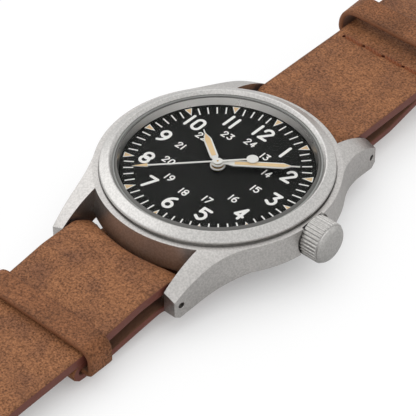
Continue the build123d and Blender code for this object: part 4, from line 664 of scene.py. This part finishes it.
@dataclass
class Band:
    """A strip of leather, cut and finished flat, then laid along its route.

    Flat, it runs along +X from 0, and its grain side faces down.
    """

    name: str
    route: Route
    width: float
    thickness: float
    grain: Finish = GRAIN
    edge: Finish = EDGE
    cell: float = 0.6
    round_over: float = 0.3
    sag: float = 0.05
    sag_size: float = 7.0

    def blank(self) -> bpy.types.Object:
        """Flat strip of one layer, divided finely enough to bend.

        Returns:
            The strip's object.
        """
        length = self.route.length()
        bpy.ops.object.select_all(action="DESELECT")
        columns = max(round(length / (self.cell * MM)), 8)
        rows = max(round(self.width / self.cell), 6)
        bpy.ops.mesh.primitive_grid_add(x_subdivisions=columns, y_subdivisions=rows, size=1)
        strip = bpy.context.active_object
        strip.name = strip.data.name = self.name
        edit_all(strip)
        bpy.ops.transform.resize(value=(length, self.width * MM, 1))
        bpy.ops.transform.translate(value=(length / 2, 0, 0))
        bpy.ops.object.mode_set(mode="OBJECT")
        return strip

    def pattern(self, strip: bpy.types.Object) -> None:
        """Write the flat pattern into a UV map, with one unit to 10 mm."""
        mesh = strip.data
        for layer in list(mesh.uv_layers):
            mesh.uv_layers.remove(layer)
        flat = mesh.uv_layers.new(name="flat")
        for loop in mesh.loops:
            place = mesh.vertices[loop.vertex_index].co
            flat.data[loop.index].uv = (place.x * UV_PER_METRE, place.y * UV_PER_METRE)

    def thicken(self, strip: bpy.types.Object) -> None:
        """Give the strip its thickness, round its cut edges and let it lie unevenly."""
        for finish in (FLESH, self.grain, self.edge):
            strip.data.materials.append(finish.material())
        apply(
            strip,
            "SOLIDIFY",
            thickness=self.thickness * MM,
            offset=0.0,
            material_offset=Layer.GRAIN.value,
            material_offset_rim=Layer.EDGE.value,
        )
        apply(
            strip,
            "BEVEL",
            width=self.round_over * MM,
            segments=3,
            limit_method="ANGLE",
            angle_limit=SMOOTH_ANGLE,
            use_clamp_overlap=True,
        )
        clouds = bpy.data.textures.new(self.name + "_sag", "CLOUDS")
        clouds.noise_scale, clouds.noise_depth = self.sag_size * MM, 2
        apply(
            strip,
            "DISPLACE",
            texture=clouds,
            texture_coords="LOCAL",
            strength=self.sag * MM,
            mid_level=0.5,
        )

    def pierce(self, strip: bpy.types.Object, holes: list[Hole]) -> None:
        """Punch round holes through the flat strip.

        Args:
            strip: The strip's object.
            holes: Distance along, distance across and diameter of each, all in metres.
        """
        cutters = []
        for along, across, wide in holes:
            bpy.ops.object.select_all(action="DESELECT")
            bpy.ops.mesh.primitive_cylinder_add(
                vertices=20,
                radius=wide / 2,
                depth=4 * self.thickness * MM,
                location=(along, across, 0),
            )
            cutters.append(bpy.context.active_object)
        self.cut(strip, cutters)

    def cut(self, strip: bpy.types.Object, cutters: list[bpy.types.Object]) -> None:
        """Take the cutters' shapes out of the strip, and drop the cutters."""
        for cutter in cutters:
            cutter.data.materials.append(EDGE.material())
        tool = joined(cutters)
        apply(
            strip,
            "BOOLEAN",
            operation="DIFFERENCE",
            solver="EXACT",
            object=tool,
            material_mode="TRANSFER",
        )
        bpy.data.objects.remove(tool)

    def needle_holes(self, y: float, z: float) -> list[Hole]:
        """Row of needle holes across the band.

        Args:
            y: The row's place towards 12 o'clock, in millimetres.
            z: The band's height there, in millimetres.

        Returns:
            Distance along, distance across and diameter of each, in metres.
        """
        along = self.route.distance_to(y, z)
        return [(along, across * MM, NEEDLE_D * MM) for across in NEEDLES_X]

    def lay(self, strip: bpy.types.Object) -> None:
        """Bend the flat strip along its route and smooth its faces."""
        path = self.route.curve(self.name + "_route")
        apply(strip, "CURVE", object=path, deform_axis="POS_X")
        bpy.data.objects.remove(path)
        only(strip)
        bpy.ops.object.shade_smooth_by_angle(angle=SMOOTH_ANGLE)

    def fit(self, strip: bpy.types.Object, stands_for: str, slot: str) -> None:
        """Put the finished band in its node's place, riding on the case.

        Args:
            strip: The band's object.
            stands_for: CAD node that it replaces.
            slot: Material slot of the record; not used.
        """
        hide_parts(stands_for)
        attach(strip, "case")
        LOG.info("%s: %d faces", strip.name, len(strip.data.polygons))


def side_view(*corners: tuple[float, float]) -> tuple[Point, ...]:
    """Points of a route in the watch's middle plane, from their (y, z)."""
    return tuple((0.0, y, z) for y, z in corners)


LONG_ROUTE = Route(
    side_view(
        (56.98, 5.29), (65.98, 3.6), (70.99, 3.22), (78.38, 0.75), (82.65, 0.75), (82.65, 4.05),
        (65.98, 5.2), (54.0, 7.45), (19.85, 7.45), (19.85, 5.7), (16.35, 1.9), (-16.35, 1.9),
        (-19.85, 5.7), (-19.85, 7.25), (-27.0, 7.2), (-30.6, 6.65), (-36.0, 5.95), (-50.0, 5.45),
        (-80.0, 3.9), (-112.0, 0.75), (-141.0, 0.75),
    ),
    (24, 12, 4, 1.63, 1.63, 24, 24, 1.3, 0.8, 2, 2, 0.8, 1.3, 12, 20, 20, 40, 60, 60),
)
UNDER_ROUTE = Route(
    side_view(
        (51.98, 6.1), (48.2, 6.1), (47.1, 5.15), (41.6, 5.15), (40.5, 6.1), (38.39, 6.1),
        (29.5, 4.3), (23.5, 4.05), (17.0, 0.55), (-17.0, 0.55), (-22.0, 3.6), (-27.4, 3.1),
        (-33.9, 2.37), (-39.55, 2.37), (-39.55, 4.47), (-33.6, 4.47),
    ),
    (1, 1, 1, 1, 4, 4, 4, 4, 4, 4, 4, 4, 1.03, 1.03),
)
# Half widths of the long strap's tail at distances from its tip.
TIP = ((0.0, 2.1), (1.0, 4.8), (3.0, 7.83), (6.0, 9.07), (9.0, 9.55))
# Rows of needle holes in the long strap.
SEWN = ((KEEPER_SEAM_Y, 7.45), (FOLD_SEAM_Y, 6.42), (FOLD_SEAM_Y, 4.82))


@dataclass
class LongStrap(Band):
    """The one-piece strap: folded round the buckle bar, under the case and out to its tip."""

    name: str = "long_strap_leather"
    width: float = 19.1
    thickness: float = 1.5
    cell: float = 0.55
    # Buckle holes, counted and measured from the tip.
    slots: int = 7
    slot_pitch: float = 7.0
    first_slot: float = 30.0
    slot_wide: float = 1.9
    # Opening for the buckle's tongue: place, the heights of its two ends, and width.
    tongue_y: float = 74.6
    tongue_z: tuple[float, float] = (2.0, 4.5)
    tongue_wide: float = 3.2
    tongue_round: float = 1.2
    # The case's round wall, and where and how far the strap gives way to it.
    wall_radius: float = 19.0
    wall_foot: float = 2.7
    wall_rise: float = 2.8
    hug_from: float = 24.5
    sink_from: float = 20.6
    fade: float = 4.0
    sink: float = 0.45
    side_gap: float = 2.55
    route: Route = LONG_ROUTE

    def half_at(self, left: float) -> float:
        """Half the strap's width this many millimetres from its tip."""
        for (near, low), (far, high) in zip(TIP, TIP[1:]):
            if left <= far:
                return low + (high - low) * (left - near) / (far - near)
        return TIP[-1][1]

    def point(self, strip: bpy.types.Object) -> None:
        """Draw the tail in to its rounded tip."""
        length = self.route.length()
        for vertex in strip.data.vertices:
            left = (length - vertex.co.x) / MM
            vertex.co.y *= self.half_at(left) / (self.width / 2)

    def holes(self) -> list[Hole]:
        """Buckle holes of the tail and needle holes of the seams.

        Returns:
            Distance along, distance across and diameter of each, in metres.
        """
        end = self.route.length()
        found = []
        for number in range(self.slots):
            left = self.first_slot + number * self.slot_pitch
            found.append((end - left * MM, 0.0, self.slot_wide * MM))
        for y, z in SEWN:
            found += self.needle_holes(y, z)
        return found

    def slot_cutter(self) -> bpy.types.Object:
        """Cutter of the long opening that the buckle's tongue passes through.

        Returns:
            A box with its ends at the two sides of the fold.
        """
        near, far = (self.route.distance_to(self.tongue_y, z) for z in self.tongue_z)
        bpy.ops.object.select_all(action="DESELECT")
        bpy.ops.mesh.primitive_cube_add(size=1, location=((near + far) / 2, 0, 0))
        cutter = bpy.context.active_object
        edit_all(cutter)
        deep = 4 * self.thickness * MM
        bpy.ops.transform.resize(value=(far - near, self.tongue_wide * MM, deep))
        bpy.ops.mesh.bevel(offset=self.tongue_round * MM, segments=4, affect="EDGES")
        bpy.ops.object.mode_set(mode="OBJECT")
        return cutter

    def hug(self, strip: bpy.types.Object) -> None:
        """Draw the strap in to the round wall of the case, where its sides also sink."""
        for vertex in strip.data.vertices:
            place = vertex.co / MM
            up = place.z - self.wall_foot
            near = clamp((self.hug_from - abs(place.y)) / self.fade)
            curve_in = self.wall_radius - math.sqrt(self.wall_radius**2 - place.x**2)
            out = abs(place.y) - curve_in * near * clamp(up / self.wall_rise)
            close = clamp((self.sink_from - out) / self.fade)
            vertex.co.y = math.copysign(out, place.y) * MM
            vertex.co.z -= self.sink * close * curve_in / self.side_gap * max(up, 0) * MM

    def build(self) -> None:
        """Make the strap and put it in place."""
        strip = self.blank()
        self.point(strip)
        self.pattern(strip)
        self.thicken(strip)
        self.cut(strip, [self.slot_cutter()])
        self.pierce(strip, self.holes())
        self.lay(strip)
        self.hug(strip)
        self.fit(strip, "strap", "strap_leather")


@dataclass
class UnderStrap(Band):
    """The lower strap, sewn on at the 12 side and folded round the end keeper at the 6 side."""

    name: str = "under_strap_leather"
    width: float = 18.8
    thickness: float = 1.1
    cell: float = 0.7
    round_over: float = 0.22
    sag: float = 0.03
    route: Route = UNDER_ROUTE

    def build(self) -> None:
        """Make the under strap and put it in place."""
        strip = self.blank()
        self.pattern(strip)
        self.thicken(strip)
        self.pierce(strip, self.needle_holes(KEEPER_SEAM_Y, 6.1))
        self.lay(strip)
        self.fit(strip, "under_strap", "strap_leather")


def loop_corners(half: float, low: float, high: float, y: float) -> tuple[Point, ...]:
    """Corners of a keeper's loop, from its half width, its two heights and its place."""
    return (half, y, low), (half, y, high), (-half, y, high), (-half, y, low)


@dataclass
class Keeper(Band):
    """A leather loop round the strap, with its ends butted underneath."""

    thickness: float = 0.9
    cell: float = 0.35
    round_over: float = 0.38
    sag: float = 0.03
    grain: Finish = KEEPER_GRAIN
    edge: Finish = CUT
    stands_for: str = ""
    lean: float = 0.0
    rise: float = 0.0

    def tilt(self, strip: bpy.types.Object) -> None:
        """Lean the loop's top towards the buckle and lift its far edge. The foot stays level."""
        _, middle, low = self.route.points[0]
        high = self.route.points[1][2]
        foot = low + self.thickness / 2
        for vertex in strip.data.vertices:
            share = clamp((vertex.co.z / MM - foot) / (high - low))
            vertex.co.z += self.rise * share * (vertex.co.y - middle * MM)
            vertex.co.y += self.lean * share * MM

    def build(self) -> None:
        """Make the loop and put it in place."""
        strip = self.blank()
        self.pattern(strip)
        self.thicken(strip)
        self.lay(strip)
        self.tilt(strip)
        self.fit(strip, self.stands_for, "keeper_leather")


END_KEEPER = Keeper(
    name="end_keeper_leather",
    route=Route(
        loop_corners(half=10.75, low=3.42, high=7.5, y=-36.3),
        (0.65, 1.75, 1.75, 0.65),
        closed=True,
    ),
    width=4.3,
    stands_for="end_keeper",
)
FIXED_KEEPER = Keeper(
    name="fixed_keeper_leather",
    route=Route(
        loop_corners(half=10.85, low=6.2, high=10.85, y=44.2),
        (1.7, 2.5, 2.5, 1.7),
        closed=True,
    ),
    width=4.6,
    lean=0.7,
    rise=0.09,
    stands_for="fixed_keeper",
)


@dataclass
class Seams:
    """Rows of stitches through the straps. One stitch is modelled and the others are its copies."""

    length: float = 3.4
    overrun: float = 0.5
    ply: float = 0.25
    twist: float = 0.19
    turns: float = 2.5
    stations: int = 18
    # The ends of a stitch dip into their holes from these shares of its half length.
    level_share: float = 0.72
    dip_share: float = 0.28
    dip: float = 0.55
    bed: float = 0.02
    slant: float = 0.09
    wobble: float = 0.03
    wobble_step: float = 2.1
    across: tuple[float, ...] = (-6.0, -2.0, 2.0, 6.0)
    # Slope of the fold at its seam, and half the strap's thickness.
    fold_slope: float = math.radians(-10.64)
    half_thick: float = 0.75

    def ply_mesh(self, phase: float) -> bpy.types.Object:
        """One ply of a stitch, wound round the thread's axis, with its ends down in the holes.

        Args:
            phase: Where round the axis the ply starts, in radians.

        Returns:
            The ply's object, along X.
        """
        bpy.ops.object.select_all(action="DESELECT")
        places = []
        for number in range(self.stations + 1):
            share = number / self.stations
            angle = phase + share * self.turns * 2 * math.pi
            along = (share - 0.5) * (self.length + self.overrun)
            edge = max(abs(share - 0.5) * 2 - self.level_share, 0) / self.dip_share
            side = self.twist * math.cos(angle)
            up = self.twist * math.sin(angle) - self.bed - self.dip * edge * edge
            places.append(Vector((along, side, up)) * MM)
        bpy.ops.mesh.primitive_circle_add(
            vertices=8,
            radius=self.ply * MM,
            fill_type="NGON",
            location=places[0],
            rotation=(0, -math.pi / 2, 0),
        )
        made = bpy.context.active_object
        edit_all(made)
        for here, there in zip(places, places[1:]):
            bpy.ops.mesh.extrude_region_move(TRANSFORM_OT_translate={"value": there - here})
        bpy.ops.mesh.select_all(action="SELECT")
        bpy.ops.mesh.normals_make_consistent(inside=False)
        bpy.ops.object.mode_set(mode="OBJECT")
        return made

    def stitch(self) -> bpy.types.Object:
        """One stitch of two plies.

        Returns:
            The stitch's object, centred on its place.
        """
        made = joined([self.ply_mesh(0), self.ply_mesh(math.pi)])
        bpy.ops.object.transform_apply(location=True, rotation=True, scale=True)
        bpy.ops.object.shade_smooth()
        return made

    def rows(self) -> tuple[tuple[float, float, float, float], ...]:
        """The rows of stitches, on both sides of the leather at each seam.

        Returns:
            Place towards 12 o'clock and height in millimetres, slope, and turn about the row.
        """
        lift = self.half_thick / math.cos(self.fold_slope)
        return (
            (KEEPER_SEAM_Y, 8.2, 0.0, 0.0),
            (KEEPER_SEAM_Y, 5.55, 0.0, math.pi),
            (FOLD_SEAM_Y, 6.42 + lift, self.fold_slope, 0.0),
            (FOLD_SEAM_Y, 4.82 - lift, self.fold_slope, math.pi),
        )

    def build(self) -> None:
        """Lay the stitches in their rows, as one object."""
        model = self.stitch()
        copies = []
        for y, z, slope, over in self.rows():
            for number, x in enumerate(self.across):
                one = model.copy()
                one.data = model.data.copy()
                bpy.context.scene.collection.objects.link(one)
                askew = self.wobble * math.sin(self.wobble_step * number + y) - self.slant
                turn = Matrix.Rotation(askew, 4, "Z") @ Matrix.Rotation(over, 4, "X")
                one.data.transform(Matrix.Rotation(slope, 4, "X") @ turn)
                one.data.transform(Matrix.Translation(Vector((x, y, z)) * MM))
                copies.append(one)
        bpy.data.objects.remove(model)
        seams = joined(copies)
        seams.name = seams.data.name = "seam_stitches"
        seams.data.materials.append(THREAD.material())
        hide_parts("stitching")
        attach(seams, "case")
        LOG.info("%s: %d faces", seams.name, len(seams.data.polygons))


FINISHES = {
    BLASTED: ("mid_case", "crown_tube"),
    TURNED: ("case_back", "flange_ring"),
    BEZEL: ("bezel",),
    NYLON: ("crystal_gasket",),
    SATIN: ("crown", "buckle_frame", "buckle_tongue"),
    POLISHED: (
        "winding_stem", "winding_pinion", "sliding_pinion", "spring_bars", "bar_pin_12_right",
        "bar_pin_12_left", "bar_pin_6_right", "bar_pin_6_left", "mainspring", "barrel_arbor",
        "click", "setting_lever", "escape_wheel", "pallet_fork", "buckle_bar",
    ),
    PLATED: (
        "main_plate", "barrel_bridge", "train_bridge", "balance_cock", "pallet_bridge",
        "ratchet_wheel", "crown_wheel",
    ),
    BLUED: ("hairspring", "movement_screws"),
    BRASS: (
        "mainspring_barrel", "centre_wheel", "cannon_pinion", "third_wheel", "fourth_wheel",
        "balance_wheel", "minute_wheel", "hour_wheel",
    ),
    RUBBER: ("case_back_gasket", "crown_gasket"),
    WHITE: ("hour_hand", "minute_hand", "seconds_hand"),
    LUME: ("dial_lume", "hour_hand_lume", "minute_hand_lume", "seconds_hand_lume"),
    PLASTIC: ("movement_ring",),
    GLASS: ("crystal",),
    LACQUER: ("dial",),
    PRINT: ("dial_print",),
    RUBY: ("jewels",),
}


def dress() -> None:
    """Give each CAD node that isn't modelled anew the finish of the real part."""
    for finish, names in FINISHES.items():
        for name in names:
            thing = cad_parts[name]
            if not thing.data.materials:
                thing.data.materials.append(None)
            for slot in thing.material_slots:
                slot.material = finish.material()
        LOG.info("%s: %s", finish.name, ", ".join(names))


@dataclass
class PhotoCamera:
    """The photograph's camera: long lens, from the 4 o'clock side, looking down."""

    back: Point = (0.504, -0.566, 0.653)
    aim: Point = (0.0, 0.0, 10.0)
    distance: float = 306.9
    lens: float = 179.7
    sensor: float = 36.0
    shift: tuple[float, float] = (-0.0233, -0.0934)
    clip: tuple[float, float] = (0.01, 20.0)

    def build(self) -> None:
        """Make the camera and look through it."""
        data = bpy.data.cameras.new("photo_camera")
        data.lens, data.sensor_width, data.sensor_fit = self.lens, self.sensor, "HORIZONTAL"
        data.shift_x, data.shift_y = self.shift
        data.clip_start, data.clip_end = self.clip
        camera = bpy.data.objects.new("photo_camera", data)
        away = Vector(self.back).normalized()
        camera.rotation_mode = "QUATERNION"
        camera.rotation_quaternion = away.to_track_quat("Z", "Y")
        camera.location = Vector(self.aim) * MM + away * self.distance * MM
        bpy.context.scene.collection.objects.link(camera)
        bpy.context.scene.camera = camera


@dataclass(frozen=True)
class SoftBox:
    """A round soft light, in metres and watts, turned to the watch."""

    name: str
    place: Point
    size: float
    power: float

    def hang(self) -> None:
        """Put the light in the scene."""
        data = bpy.data.lights.new(self.name, "AREA")
        data.shape, data.size, data.energy = "DISK", self.size, self.power
        lamp = bpy.data.objects.new(self.name, data)
        lamp.location = self.place
        lamp.rotation_mode = "QUATERNION"
        lamp.rotation_quaternion = Vector(self.place).to_track_quat("Z", "Y")
        bpy.context.scene.collection.objects.link(lamp)


@dataclass
class Studio:
    """White table, pale room and soft boxes. Its lengths are in metres."""

    table: float = 3.0
    room: float = 0.69
    lamps: tuple[SoftBox, ...] = (
        SoftBox("key_box", (-0.5, -0.02, 0.5), 1.0, 1.7),
        SoftBox("fill_box", (0.25, -0.6, 0.6), 0.5, 0.2),
    )

    def floor(self) -> None:
        """Lay the table under the watch."""
        bpy.ops.object.select_all(action="DESELECT")
        bpy.ops.mesh.primitive_plane_add(size=self.table, location=(0, 0, 0))
        table = bpy.context.active_object
        table.name = "white_table"
        table.data.materials.append(BOARD.material())

    def sky(self) -> None:
        """Pale room: white to the camera, metal and glass, and softer as light."""
        world = bpy.data.worlds.new("pale_room")
        bpy.context.scene.world = world
        world.use_nodes = True
        tree = world.node_tree
        tree.nodes.clear()
        ray = node(tree, "ShaderNodeLightPath").outputs
        eyes = {0: ray["Is Camera Ray"], 1: ray["Is Glossy Ray"]}
        seen = node(tree, "ShaderNodeMath", eyes, operation="MAXIMUM")
        through = {0: seen, 1: ray["Is Transmission Ray"]}
        clear = node(tree, "ShaderNodeMath", through, operation="MAXIMUM")
        levels = {"Value": clear, "To Min": self.room, "To Max": 1.0}
        level = node(tree, "ShaderNodeMapRange", levels)
        light = node(tree, "ShaderNodeBackground", {"Color": grey(1.0), "Strength": level})
        node(tree, "ShaderNodeOutputWorld", {"Surface": light})

    def build(self) -> None:
        """Set up the whole studio."""
        bpy.context.scene.view_settings.view_transform = "Standard"
        self.floor()
        self.sky()
        for lamp in self.lamps:
            lamp.hang()


def main() -> None:
    """Build the camera, the leather, the thread, the finishes and the studio."""
    logging.basicConfig(level=logging.INFO, format="%(message)s")
    PhotoCamera().build()
    LongStrap().build()
    UnderStrap().build()
    END_KEEPER.build()
    FIXED_KEEPER.build()
    Seams().build()
    dress()
    Studio().build()


if __name__ == "__main__":
    main()
